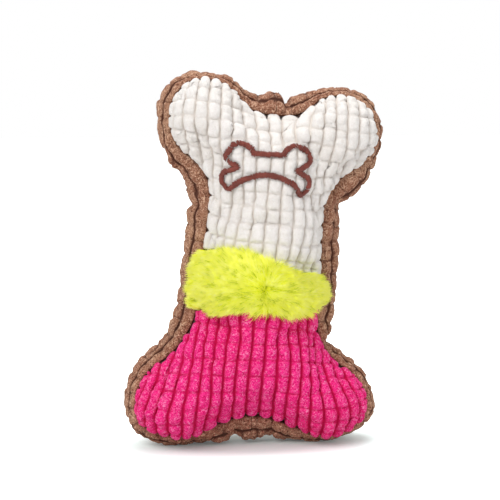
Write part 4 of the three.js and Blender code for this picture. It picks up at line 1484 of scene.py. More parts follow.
@dataclass
class Panel:
    """One cloth of a face, cut from corduroy and laid over the stuffing."""

    name: str
    node: str
    slot: Slot
    cloth: Corduroy
    region: Callable[[Array], Array]
    span: tuple[float, float, float, float]
    pressed_along: Array | None = None
    thickness: float = 1.6
    wander: float = 0.45
    ruffle: float = 0.16
    gather: float = 0.085
    gather_head: Pair = (125.0, 165.0)
    gather_foot: Pair = (35.0, 75.0)
    fan: float = 0.15
    fan_from: Pair = (8.0, 60.0)
    fan_head: Pair = (138.0, 180.0)
    fan_foot: Pair = (20.0, 72.0)
    press_reach: float = 2.7
    press_level: float = 0.4
    scallop: float = 1.3
    fine_fuzz: Pair = (0.06, 1.7)
    coarse_fuzz: Pair = (0.17, 4.4)
    fuzz_waves: int = 14
    pull_waves: Pair = (46.0, 40.0)
    ruffle_wave: float = 9.0

    def build(self, surface: ClothFace) -> Piece:
        """Cuts and lays the cloth.

        Args:
            surface: The face that it covers.

        Returns:
            The piece, not yet riding on a body.
        """
        low_u, high_u, low_v, high_v = self.span
        columns, rows = self.cloth.columns(low_u, high_u), self.cloth.rows(low_v, high_v)
        across, along = np.meshgrid(columns, rows, indexing="ij")
        grid_across = across.ravel()
        grid = self._shifted(np.stack([grid_across, along.ravel()], axis=1))
        rim = surface.inside(grid) - self.scallop * (1 - self.cloth.cord(grid_across)[1])
        edge = np.minimum(rim, self.region(grid)).reshape(across.shape)
        cut = cut_cloth(columns, rows, edge)
        if surface.face is Face.BACK:
            cut = cut.turned()
        flat = cut.points
        laid = surface.lay(self._shifted(flat))
        base = surface.bag.swell(laid)
        normal = replace(cut, points=base).normals()
        height = self.cloth.height(flat[:, 0], flat[:, 1])
        # pressing the cords flatter round the stitches also paints groove shade there
        if self.pressed_along is not None:
            seen = laid[:, [0, 2]]
            gap = np.full(len(seen), np.inf)
            for stitch in self.pressed_along:
                gap = np.minimum(gap, np.linalg.norm(seen - stitch, axis=1))
            press = np.exp(-(gap / self.press_reach) ** 2)
            height = height + (np.minimum(height, self.press_level) - height) * press
        fuzz = sum(
            depth * ripple(base, wave, self.cloth.seed + number, self.fuzz_waves)
            for number, (depth, wave) in enumerate((self.fine_fuzz, self.coarse_fuzz), 5))
        outer = base + normal * (self.cloth.relief * height + fuzz)[:, None]
        skin = replace(cut, points=outer).thick(base - normal * self.thickness)
        # the relief mark also sets where the finish paints groove shade
        obj = skin.piece(self.name, {"relief": np.tile(height, 2)}, on_table=True)
        FINISHES.dress(obj, self.slot)
        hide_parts(self.node)
        return obj

    def _shifted(self, flat: Array) -> Array:
        """Places on the cloth, whose cords fan out into the knobs and are pulled about in the sewing.

        Args:
            flat: Places before the sewing.

        Returns:
            Places on the face's flat cloth.
        """
        seed, height = self.cloth.seed, flat[:, 1]
        knobs = smoothstep(*self.gather_head, height) + 1 - smoothstep(*self.gather_foot, height)
        waist = smoothstep(*self.fan_foot, height) - smoothstep(*self.fan_head, height)
        fanned = self.fan * waist * smoothstep(*self.fan_from, np.abs(flat[:, 0]))
        width = np.stack([1 - self.gather * knobs - fanned, np.ones(len(flat))], axis=1)
        pull = [ripple(flat, wave, seed + number) for number, wave in enumerate(self.pull_waves, 11)]
        ruffles = np.outer(ripple(flat, self.ruffle_wave, seed + 13), [self.ruffle, 0.0])
        return flat * width + np.stack(pull, axis=1) * self.wander + ruffles


@dataclass(frozen=True)
class Fold:
    """A place of the border's outline where its cloth stands out, or is creased in below a height of 0."""

    x: float
    z: float
    height: float
    width: float


@dataclass
class Border:
    """The two strips of corduroy round the edge, with cords that run along it."""

    cloth: Corduroy = Corduroy(
        relief=1.7, cord_share=0.9, cross_cut=0.42, cut_width=0.9, seed=71, row_wander=0.16, phase=0.0)
    wales: int = 4
    rim: float = 1e-3
    step: float = 0.7
    thickness: float = 1.4
    sink: float = 0.9
    join_gap: float = 0.15
    end_ease: float = 3.0
    end_relief: float = 0.6
    end_sink: float = 0.4
    fold_round: float = 0.7
    lumps: Pair = (0.35, 13.0)
    creases: Pair = (0.32, 5.5)
    fuzz: Pair = (0.05, 1.7)
    fine_waves: int = 14
    seed: int = 77
    folds: tuple[Fold, ...] = (
        Fold(0.4, 200.0, 5.6, 6.0), Fold(7.0, 201.0, -4.4, 2.1),
        Fold(1.0, 6.7, 4.3, 9.0), Fold(-19.0, 5.0, 3.4, 8.0),
        Fold(18.0, 5.0, 3.6, 9.0), Fold(-9.5, 6.3, -2.6, 2.4),
        Fold(11.0, 6.1, -1.4, 2.4), Fold(68.0, 16.0, 2.2, 9.0),
        Fold(51.0, 151.0, 3.2, 10.0), Fold(-45.5, 144.0, 2.2, 9.0),
        Fold(36.0, 211.0, -2.2, 15.0), Fold(-38.0, 211.0, -1.0, 15.0),
        Fold(64.0, 185.0, -1.2, 13.0), Fold(43.3, 112.0, 2.0, 30.0),
        Fold(42.5, 144.0, -2.6, 2.8), Fold(41.7, 62.4, -3.0, 3.2),
        Fold(42.0, 71.0, 1.2, 4.0), Fold(-41.0, 136.0, -2.0, 2.6),
        Fold(-48.0, 158.0, -1.8, 2.2),
    )

    def build(self, bag: StuffedBag) -> list[Piece]:
        """Makes both strips.

        Args:
            bag: The stuffed bag.

        Returns:
            The pieces, left and right.
        """
        crest = PATTERN.crest().point
        count = len(crest)
        closed = np.concatenate([crest, crest[:1]])
        run = run_along(closed)
        half = run[count // 2]
        sides = {"right": (self.join_gap, half - self.join_gap),
                 "left": (half + self.join_gap, run[-1] - self.join_gap)}
        pieces = []
        for side, (start, end) in sides.items():
            along = np.linspace(start, end, int((end - start) / self.step))
            places = np.interp(along, run, np.arange(count + 1))
            pieces.append(self._strip(side, along, places, bag))
        return pieces

    def _strip(self, side: str, along: Array, places: Array, bag: StuffedBag) -> Piece:
        """Makes one strip.

        Args:
            side: Left or right.
            along: Distances round the outline.
            places: The same as numbers of outline points.
            bag: The stuffed bag.

        Returns:
            The piece.
        """
        across = np.concatenate([w + self.cloth.across() for w in range(self.wales)] + [[self.wales]])
        angles = math.pi * (across / self.wales - 0.5)
        shape = (len(along), len(across))
        base = bag.swell(PATTERN.border(places, angles, -self.sink).reshape(-1, 3))
        inner = bag.swell(PATTERN.border(places, angles, -self.sink - self.thickness).reshape(-1, 3))
        here = np.arange(shape[0] - 1)[:, None] * shape[1] + np.arange(shape[1] - 1)[None]
        quads = np.stack([here, here + 1, here + shape[1] + 1, here + shape[1]], axis=2).reshape(-1, 4)
        normal = Skin(base, quads).normals()
        middle = base.reshape(*shape, 3).mean(axis=(0, 1))
        if ((base - middle) * normal).sum() < 0:
            quads, normal = quads[:, ::-1], -normal
        grid_along, grid_across = np.meshgrid(along, across, indexing="ij")
        cord = np.minimum(grid_across, self.wales - self.rim)
        height = self.cloth.height(cord.ravel() * self.cloth.wale, grid_along.ravel()).reshape(shape)
        # flat at both seams, where the finish paints groove shade
        height[:, [0, -1]] = 0.0
        ease = smoothstep(0, self.end_ease, np.minimum(along - along[0], along[-1] - along))[:, None]
        raised = self.cloth.relief * height * (self.end_relief + (1 - self.end_relief) * ease)
        bunched = np.sin(math.pi * across / self.wales)[None] ** self.fold_round
        raised = raised + self._bunch(places)[:, None] * bunched
        lumps = self.lumps[0] * ripple(base, self.lumps[1], self.seed)
        creases = self.creases[0] * ripple(base, self.creases[1], self.seed + 2, self.fine_waves)
        raised = raised + (lumps + creases).reshape(shape) - self.end_sink * (1 - ease)
        fuzz = self.fuzz[0] * ripple(base, self.fuzz[1], self.seed + 1, self.fine_waves)
        outer = base + normal * (raised.ravel() + fuzz)[:, None]
        marks = {"relief": np.tile(height.ravel(), 2)}
        obj = Skin(outer, quads).thick(inner).piece(f"border_{side}", marks, on_table=True)
        FINISHES.dress(obj, Slot.BROWN)
        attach(obj, Body.BACK.value)
        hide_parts(f"gusset_{side}")
        return obj

    def _bunch(self, places: Array) -> Array:
        """Height of the folds round the outline.

        Args:
            places: Numbers of outline points.

        Returns:
            Heights in millimetres.
        """
        crest = PATTERN.crest().point
        ring = PATTERN.border(places, np.array([0.0]), 0.0)[:, 0, [0, 2]]
        total = np.zeros(len(places))
        for fold in self.folds:
            middle = crest[np.argmin(np.linalg.norm(crest - [fold.x, fold.z], axis=1))]
            away = np.linalg.norm(ring - middle, axis=1)
            total += fold.height * np.exp(-(away / fold.width) ** 2)
        return total


@dataclass
class FurBand:
    """The strip of long-pile fur across the waist: its backing cloth and its hairs."""

    top: float = 111.2
    bottom: float = 84.4
    taper: float = 0.083
    dip: float = 4.2
    dip_over: Pair = (-10.0, 22.0)
    end_curve: float = 2.4
    end_from: Pair = (29.0, 46.0)
    foot_curve: float = 0.3
    seam_half: float = 0.4
    backing: float = 1.6
    backing_across: Pair = (-52.0, 53.0)
    backing_along: Pair = (72.0, 124.0)
    backing_step: float = 1.3
    backing_lumps: Triple = (0.5, 0.25, 5.0)
    # the backing takes the dark root colour: painted shade under the hair
    backing_depth: float = 0.15
    backing_shade: float = 0.2
    strands: int = 46000
    roots_low: Pair = (-50.0, 74.0)
    roots_high: Pair = (50.0, 122.0)
    tries: int = 3
    rim_gap: float = 0.2
    length: Pair = (8.5, 13.2)
    clump_length: Pair = (0.86, 0.24)
    edge_share: float = 0.45
    end_trim: float = 0.35
    girth: float = 0.15
    thinning: float = 0.55
    stand: float = 0.32
    end_stand: float = 0.45
    jitter: float = 0.14
    gather: Pair = (0.45, 0.9)
    droop: float = 0.06
    flutter: float = 0.05
    bend: Pair = (0.42, 0.14)
    shades: Pair = (0.3, 0.7)
    whorl: Pair = (0.0, 93.0)
    whorl_to_end: Pair = (20.0, 42.0)
    sweep: Triple = (0.85, 17.0, 0.4)
    lift_at: tuple[float, ...] = (-10.0, -5.0, 0.0, 8.0, 20.0)
    lift: tuple[float, ...] = (-0.22, -0.2, 0.0, 0.4, 0.55)
    sag: float = 0.4
    sag_right: Pair = (-6.0, 18.0)
    sag_up: Pair = (0.0, 12.0)
    end_pull: float = 0.3
    swirl: Pair = (0.15, 15.0)
    clump_spacing: float = 1.15
    clump_area: float = 88.0 * 30.0
    layers: int = 4
    rings: tuple[float, ...] = (0.0, 0.42, 0.76)
    seed: int = 53
    SIDES = 3

    def upper(self, across: Array) -> Array:
        """Height of the upper seam, which sags on the right and at both ends."""
        sag = self.dip * smoothstep(*self.dip_over, across) + self._curved(across)
        return self.top - self.taper * across - sag

    def lower(self, across: Array) -> Array:
        """Height of the lower seam, which is drawn up at both ends."""
        return self.bottom + self.taper * across + self.foot_curve * self._curved(across)

    def _curved(self, across: Array) -> Array:
        """How far each seam is drawn towards the other."""
        return self.end_curve * smoothstep(*self.end_from, np.abs(across))

    def above(self, flat: Array) -> Array:
        """Distance above the band."""
        return flat[:, 1] - self.upper(flat[:, 0]) - self.seam_half

    def below(self, flat: Array) -> Array:
        """Distance below the band."""
        return self.lower(flat[:, 0]) - self.seam_half - flat[:, 1]

    def region(self, flat: Array) -> Array:
        """Distance inside the band's two seams."""
        return -np.maximum(self.above(flat), self.below(flat)) - 2 * self.seam_half

    def build(self, surface: ClothFace) -> list[Piece]:
        """Makes the backing and the pile.

        Args:
            surface: The front.

        Returns:
            The pieces.
        """
        columns = np.arange(*self.backing_across, self.backing_step)
        rows = np.arange(*self.backing_along, self.backing_step)
        across, along = np.meshgrid(columns, rows, indexing="ij")
        grid = np.stack([across.ravel(), along.ravel()], axis=1)
        edge = np.minimum(surface.inside(grid), self.region(grid)).reshape(across.shape)
        cut = cut_cloth(columns, rows, edge)
        base = surface.swollen(cut.points)
        normal = replace(cut, points=base).normals()
        level, lump, wave = self.backing_lumps
        uneven = level + lump * ripple(base, wave, self.seed)
        skin = replace(cut, points=base + normal * uneven[:, None]).thick(base - normal * self.backing)
        count = len(skin.points)
        # painted shade: the backing under the hair is coloured like the roots
        marks = {"along": np.full(count, self.backing_depth), "shade": np.full(count, self.backing_shade)}
        backing = skin.piece("fur_backing", marks)
        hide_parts("front_fur_band")
        pieces = [backing, *self._pile(surface)]
        for piece in pieces:
            FINISHES.dress(piece, Slot.FUR)
            give_front(piece)
        return pieces

    def _roots(self, surface: ClothFace, count: int, chance: np.random.Generator) -> Array:
        """About so many scattered places of the band, on the flat cloth."""
        tries = chance.uniform(self.roots_low, self.roots_high, size=(count * self.tries, 2))
        return tries[(self.region(tries) > 0) & (surface.inside(tries) > self.rim_gap)][:count]

    def _end(self, flat: Array) -> Array:
        """Share of the way to the nearer end of the band."""
        return smoothstep(*self.whorl_to_end, np.abs(flat[:, 0] - self.whorl[0]))

    def _brushed(self, flat: Array, points: Array) -> Array:
        """Direction in which the hair is brushed: out of a whorl, and towards the middle at the two ends.

        Args:
            flat: Places on the flat cloth.
            points: The same on the toy.

        Returns:
            Directions, shorter near the whorl and at the lower edge.
        """
        right, up = (flat - np.array(self.whorl)).T
        end = self._end(flat)
        share, reach, eased = self.sweep
        sideways = share * np.tanh(right / reach) * (1 - eased * end)
        upwards = np.interp(up, self.lift_at, self.lift)
        upwards -= self.sag * smoothstep(*self.sag_right, right) * smoothstep(*self.sag_up, up)
        middle = (self.top + self.bottom) / 2
        inwards = (middle - flat[:, 1]) / (self.top - middle)
        upwards = upwards * (1 - end) + self.end_pull * inwards * end
        strength, wave = self.swirl
        swirl = np.stack([ripple(points, wave, self.seed + k) for k in (1, 2, 3)], axis=1)
        return np.outer(sideways, [1.0, 0.0, 0.0]) + np.outer(upwards, UP) + strength * swirl

    def _pile(self, surface: ClothFace) -> list[Piece]:
        """Hairs in tufts, as pieces one above the other.

        Args:
            surface: The front.

        Returns:
            The pieces.
        """
        chance = np.random.default_rng(self.seed)
        flat = self._roots(surface, self.strands, chance)
        near = 0.5
        root = surface.swollen(flat)
        ahead = surface.swollen(flat + [near, 0]) - surface.swollen(flat - [near, 0])
        above = surface.swollen(flat + [0, near]) - surface.swollen(flat - [0, near])
        normal = unit(np.cross(ahead, above))
        brushed = self._brushed(flat, root)
        end = self._end(flat)
        way = normal * (self.stand + self.end_stand * end)[:, None] + brushed
        clumps = self._roots(surface, int(self.clump_area / self.clump_spacing ** 2), chance)
        centre = surface.swollen(clumps)
        nearest = np.array([np.argmin(((centre - p) ** 2).sum(axis=1)) for p in root])
        edge = 1 - np.clip(self.region(flat) / (self.edge_share * (self.top - self.bottom)), 0, 1)
        long = chance.uniform(*self.length, size=(len(root), 1))
        long *= (1 - self.end_trim * end * edge ** 2)[:, None]
        least, more = self.clump_length
        long *= (least + more * chance.random(len(clumps)))[nearest][:, None]
        tip = root + unit(way + chance.normal(0, self.jitter, size=way.shape)) * long
        clump_tip = np.zeros_like(centre)
        for k in range(len(centre)):
            mine = nearest == k
            clump_tip[k] = tip[mine].mean(axis=0) if mine.any() else centre[k]
        gather = chance.uniform(*self.gather, size=(len(root), 1))
        tip = tip + (clump_tip[nearest] - tip) * gather
        droop = UP * (-self.droop * long) + chance.normal(0, self.flutter, size=tip.shape) * long
        bend = root + normal * (self.bend[0] * long) + brushed * (self.bend[1] * long)
        tip = tip + droop
        shares = np.array(self.rings)
        spine = np.stack([
            (1 - t) ** 2 * root + 2 * t * (1 - t) * bend + t * t * tip for t in (*shares, 1.0)], axis=1)
        sideways = unit(np.cross(tip - root, chance.normal(size=tip.shape)))
        outwards = unit(np.cross(sideways, tip - root))
        turned = np.linspace(0, TURN, self.SIDES, endpoint=False)[None, :, None]
        ring = sideways[:, None] * np.cos(turned) + outwards[:, None] * np.sin(turned)
        girth = self.girth * (1 - self.thinning * shares)
        walls = spine[:, :-1, None] + ring[:, None] * girth[None, :, None, None]
        hairs = np.concatenate([walls.reshape(len(root), -1, 3), spine[:, -1:]], axis=1)
        own, shared = self.shades
        shade = chance.random(len(root)) * own + shared * chance.random(len(clumps))[nearest]
        along = np.concatenate([np.repeat(shares, self.SIDES), [1.0]])
        pieces = []
        layer = np.argsort(np.argsort(flat[:, 1])) * self.layers // len(flat)
        for number in range(self.layers):
            chosen = layer == number
            mine = hairs[chosen]
            marks = {"along": np.tile(along, len(mine)), "shade": np.repeat(shade[chosen], len(along))}
            skin = Skin(mine.reshape(-1, 3), *self._hair_faces(len(mine)))
            pieces.append(skin.piece(f"fur_pile_{number + 1}", marks))
        return pieces

    def _hair_faces(self, count: int) -> tuple[Array, Array]:
        """Faces of hairs of three sides that end in a point.

        Args:
            count: Number of hairs.

        Returns:
            Quads and triangles.
        """
        rings, sides = len(self.rings), self.SIDES
        last = sides * (rings - 1)
        k = np.arange(sides)
        tips = np.stack([last + k, last + (k + 1) % sides, np.full(sides, last + sides)], axis=1)
        ends = np.concatenate([tips, [k[::-1]]])
        starts = (np.arange(count) * (last + sides + 1))[:, None, None]
        return (tube_walls(rings, sides) + starts).reshape(-1, 4), (ends + starts).reshape(-1, 3)


@dataclass
class Sewing:
    """Rows of machine stitches in the seams."""

    radius: float = 0.38
    stitch: float = 2.6
    pitch: float = 3.1
    steps: int = 4
    sides: int = 5
    inset: float = 0.5
    lead: float = 0.4
    tilt: Triple = (0.01, 0.3, 0.0)
    plump: float = 1.15
    least: float = 0.2
    band_half: float = 40.0
    band_steps: int = 120
    join_reach: float = 0.4 * math.pi
    join_steps: int = 40
    join_sink: float = 0.6

    def build(self, surface: ClothFace, band: FurBand) -> list[Piece]:
        """Sews every seam.

        Args:
            surface: The front.
            band: The fur band.

        Returns:
            The pieces.
        """
        seam = PATTERN.seam()
        flat = seam.point + seam.inward * self.inset
        closed = np.concatenate([flat, flat[:1]])
        half = PATTERN.half_border
        across = np.linspace(-self.band_half, self.band_half, self.band_steps)
        joins = np.linspace(-self.join_reach, self.join_reach, self.join_steps)
        foot = len(seam.point) / 2
        rows = {
            "front_seam": at_depth(closed, -half),
            "back_seam": at_depth(closed, half),
            "band_upper_seam": surface.lay(np.stack([across, band.upper(across)], axis=1)),
            "band_lower_seam": surface.lay(np.stack([across, band.lower(across)], axis=1)),
            "gusset_top_seam": PATTERN.border(np.array([0.0]), joins, -self.join_sink)[0],
            "gusset_bottom_seam": PATTERN.border(np.array([foot]), joins, -self.join_sink)[0],
        }
        pieces = []
        for name, path in rows.items():
            obj = self._row(f"{name}_stitches", surface.bag.swell(path))
            FINISHES.dress(obj, Slot.THREAD)
            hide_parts(f"{name}_thread")
            if name.startswith("band"):
                give_front(obj)
            else:
                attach(obj, Body.BACK.value)
            pieces.append(obj)
        return pieces

    def _row(self, name: str, path: Array) -> Piece:
        """One row of stitches along a path.

        Args:
            name: Name of the piece.
            path: Points of the seam.

        Returns:
            The piece.
        """
        run = run_along(path)
        starts = np.arange(self.lead, run[-1] - self.stitch, self.pitch)
        share = np.linspace(0, 1, self.steps + 1)
        at = starts[:, None] + share[None] * self.stitch
        spine = np.stack([np.interp(at, run, path[:, k]) for k in range(3)], axis=2)
        along = unit(spine[:, -1] - spine[:, 0])
        first = unit(np.cross(along, UP + self.tilt))
        girth = self.radius * np.sqrt(np.clip(self.plump - (2 * share - 1) ** 4, self.least, 1))
        stitches = thread_tubes(spine, first, np.cross(along, first), girth, self.sides)
        return stitches.piece(name, on_table=True)


@dataclass
class Stuffing:
    """Wads of fibre, lumpy and matted, one for each space of the bag."""

    voxel: float = 3.0
    lump: float = 1.5
    lump_size: float = 13.0
    lump_level: Triple = (0.75, 0.55, 2.0)
    lump_seed: int = 90
    tuft: float = 0.6
    tuft_size: float = 13.0 / 3
    tuft_seed: int = 95
    merge: float = 0.001
    slack: float = 1.0
    front_slack: float = 3.4
    drawn_in: float = 5.2
    nodes: tuple[str, ...] = (
        "stuffing_upper_left", "stuffing_upper_right", "stuffing_lower_left", "stuffing_lower_right",
        "stuffing_shank_front", "stuffing_shank_back")

    def build(self) -> list[Piece]:
        """Makes every wad.

        Returns:
            The pieces.
        """
        pieces = []
        for number, node in enumerate(self.nodes):
            wad = self._wad(node, number)
            FINISHES.dress(wad, Slot.FIBRE)
            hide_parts(node)
            low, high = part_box(node)
            front, back = low.y / MM, high.y / MM
            if node == "stuffing_shank_front":
                SQUEEZE.give(wad, Body.FRONT, (front, SQUEEZE.travel), (back, -self.drawn_in))
            elif node == "stuffing_shank_back":
                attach(wad, Body.BACK.value)
            else:
                SQUEEZE.give(wad, Body.BACK, (front, SQUEEZE.travel), (back, 0.0))
            pieces.append(wad)
        return pieces

    def _wad(self, node: str, number: int) -> Piece:
        """One wad in the space of its node.

        Args:
            node: Name of the node.
            number: Which wad, for its lumps.

        Returns:
            The piece.
        """
        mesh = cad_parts[node].data.copy()
        wad = bpy.data.objects.new(f"fibre_{node.removeprefix('stuffing_')}", mesh)
        bpy.context.scene.collection.objects.link(wad)
        remesh(wad, self.merge * MM, self.voxel * MM)
        points = read_points(wad.data) / MM
        normals = np.array([v.normal for v in wad.data.vertices])
        lumps = ripple(points, self.lump_size, self.lump_seed + number)
        lumps = lumps + self.tuft * ripple(points, self.tuft_size, self.tuft_seed + number)
        level, uneven, most = self.lump_level
        slack = self.front_slack if node == "stuffing_shank_front" else self.slack
        points -= normals * (slack + self.lump * (level + uneven * lumps).clip(0, most))[:, None]
        wad.data.vertices.foreach_set("co", (points * MM).ravel())
        soften = wad.modifiers.new("soften", "SMOOTH")
        soften.factor, soften.iterations = 0.5, 2
        fine = wad.modifiers.new("fine", "SUBSURF")
        fine.levels = fine.render_levels = 1
        for modifier in (soften, fine):
            bpy.ops.object.modifier_apply(modifier=modifier.name)
        wad.data.shade_smooth()
        return wad


@dataclass
class Squeaker:
    """The squeaker: a blown bulb with its neck, and the moulded parts of the reed."""

    foot: Triple = (0.0, -1.5, 70.0)
    radius: float = 17.0
    body: float = 40.0
    wall: float = 1.2
    foot_round: float = 7.0
    shoulder: float = 9.0
    neck_radius: float = 7.6
    neck_length: float = 9.0
    segments: int = 40
    dimple: float = 1.0
    foot_ring: float = 3.0
    dimple_ring: float = 2.0
    foot_steps: int = 5
    shoulder_steps: int = 6
    rim_roll: float = 0.35
    sharp: float = math.radians(40)
    level: float = 0.99
    close: float = 1e-6
    plastic_nodes: tuple[str, ...] = ("squeaker_plug", "reed_seat", "reed_clamp")
    reed_node: str = "squeaker_reed"
    press: float = 3.4

    def build(self) -> list[Piece]:
        """Makes the bulb and its neck, and dresses the other parts.

        Returns:
            The new pieces.
        """
        for node in self.plastic_nodes:
            FINISHES.dress(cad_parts[node], Slot.PLUG)
        FINISHES.dress(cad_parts[self.reed_node], Slot.REED)
        bulb, neck = self._bulb(), self._neck()
        middle = self.foot[1] + STANCE.origin[1]
        for piece in (bulb, neck):
            FINISHES.dress(piece, Slot.BULB)
            self._stand(piece)
        front, back = middle - self.radius, middle + self.radius
        SQUEEZE.give(bulb, Body.BACK, (front, self.press), (back, -self.press))
        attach(neck, Body.BACK.value)
        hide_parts("squeaker_bulb")
        return [bulb, neck]

    def _stand(self, obj: Piece) -> None:
        """Puts a piece that is modelled about the squeaker's axis where the squeaker stands."""
        foot = Matrix.Translation(STANCE.place(np.array([self.foot]))[0])
        obj.data.transform(foot @ Matrix.Rotation(STANCE.lean, 4, "Y"))

    def _cylinder(self, name: str, size: Triple, ends: str) -> Piece:
        """Adds an upright cylinder about the squeaker's axis.

        Args:
            name: Name of the piece.
            size: Its radius, the height of its lower end, and its own height.
            ends: What closes its ends.

        Returns:
            The cylinder, the only piece selected.
        """
        radius, base, depth = size
        bpy.ops.object.select_all(action="DESELECT")
        bpy.ops.mesh.primitive_cylinder_add(
            vertices=self.segments, radius=radius * MM, depth=depth * MM, end_fill_type=ends,
            location=(0, 0, (base + depth / 2) * MM))
        piece = bpy.context.object
        piece.name = piece.data.name = name
        bpy.ops.object.transform_apply(location=True, rotation=True, scale=True)
        return piece

    def _walled(self, piece: Piece, rolled: bool) -> Piece:
        """Gives a blown skin its wall.

        Args:
            piece: The skin, active.
            rolled: True where its rims are rolled.

        Returns:
            The piece.
        """
        wall = piece.modifiers.new("wall", "SOLIDIFY")
        wall.thickness, wall.offset = self.wall * MM, -1.0
        if rolled:
            rim = piece.modifiers.new("rim", "BEVEL")
            rim.width, rim.segments, rim.limit_method = self.rim_roll * MM, 2, "ANGLE"
        for name in [modifier.name for modifier in piece.modifiers]:
            bpy.ops.object.modifier_apply(modifier=name)
        bpy.ops.object.shade_smooth_by_angle(angle=self.sharp)
        return piece

    def _bulb(self) -> Piece:
        """Body of the bulb: a rounded can with an open shoulder and a dimpled foot.

        Returns:
            The piece, about its own axis.
        """
        bulb = self._cylinder("squeaker_bulb_body", (self.radius, 0.0, self.body), "NGON")
        bpy.ops.object.mode_set(mode="EDIT")
        self._select(bulb, "EDGE", lambda e: all(v.co.z < self.close for v in e.verts))
        bpy.ops.mesh.bevel(offset=self.foot_round * MM, segments=self.foot_steps, profile=0.5)
        top = self.body * MM - self.close
        self._select(bulb, "EDGE", lambda e: all(v.co.z > top for v in e.verts))
        bpy.ops.mesh.bevel(offset=self.shoulder * MM, segments=self.shoulder_steps, profile=0.5)
        self._select(bulb, "FACE", lambda f: f.normal.z > self.level)
        bpy.ops.mesh.inset(thickness=(self.radius - self.shoulder - self.neck_radius) * MM, depth=0)
        bpy.ops.mesh.delete(type="FACE")
        self._select(bulb, "FACE", lambda f: f.normal.z < -self.level)
        bpy.ops.mesh.inset(thickness=self.foot_ring * MM, depth=0)
        bpy.ops.mesh.inset(thickness=self.dimple_ring * MM, depth=-self.dimple * MM)
        bpy.ops.object.mode_set(mode="OBJECT")
        return self._walled(bulb, rolled=False)

    def _neck(self) -> Piece:
        """Neck of the bulb: a collar with rolled rims."""
        size = (self.neck_radius, self.body, self.neck_length)
        return self._walled(self._cylinder("squeaker_bulb_neck", size, "NOTHING"), rolled=True)

    @staticmethod
    def _select(obj: Piece, kind: str, test: Callable) -> None:
        """Selects the edges or the faces that pass a test.

        Args:
            obj: The piece, in edit mode.
            kind: EDGE or FACE.
            test: Says which of them are selected.
        """
        bpy.ops.mesh.select_all(action="DESELECT")
        bpy.ops.mesh.select_mode(type=kind)
        mesh = bmesh.from_edit_mesh(obj.data)
        mesh.normal_update()
        for part in mesh.edges if kind == "EDGE" else mesh.faces:
            part.select_set(test(part))
        bmesh.update_edit_mesh(obj.data)


@dataclass(frozen=True)
class Lamp:
    """A soft studio lamp: where it hangs, its width and its power."""

    name: str
    place: Triple
    width: float
    power: float


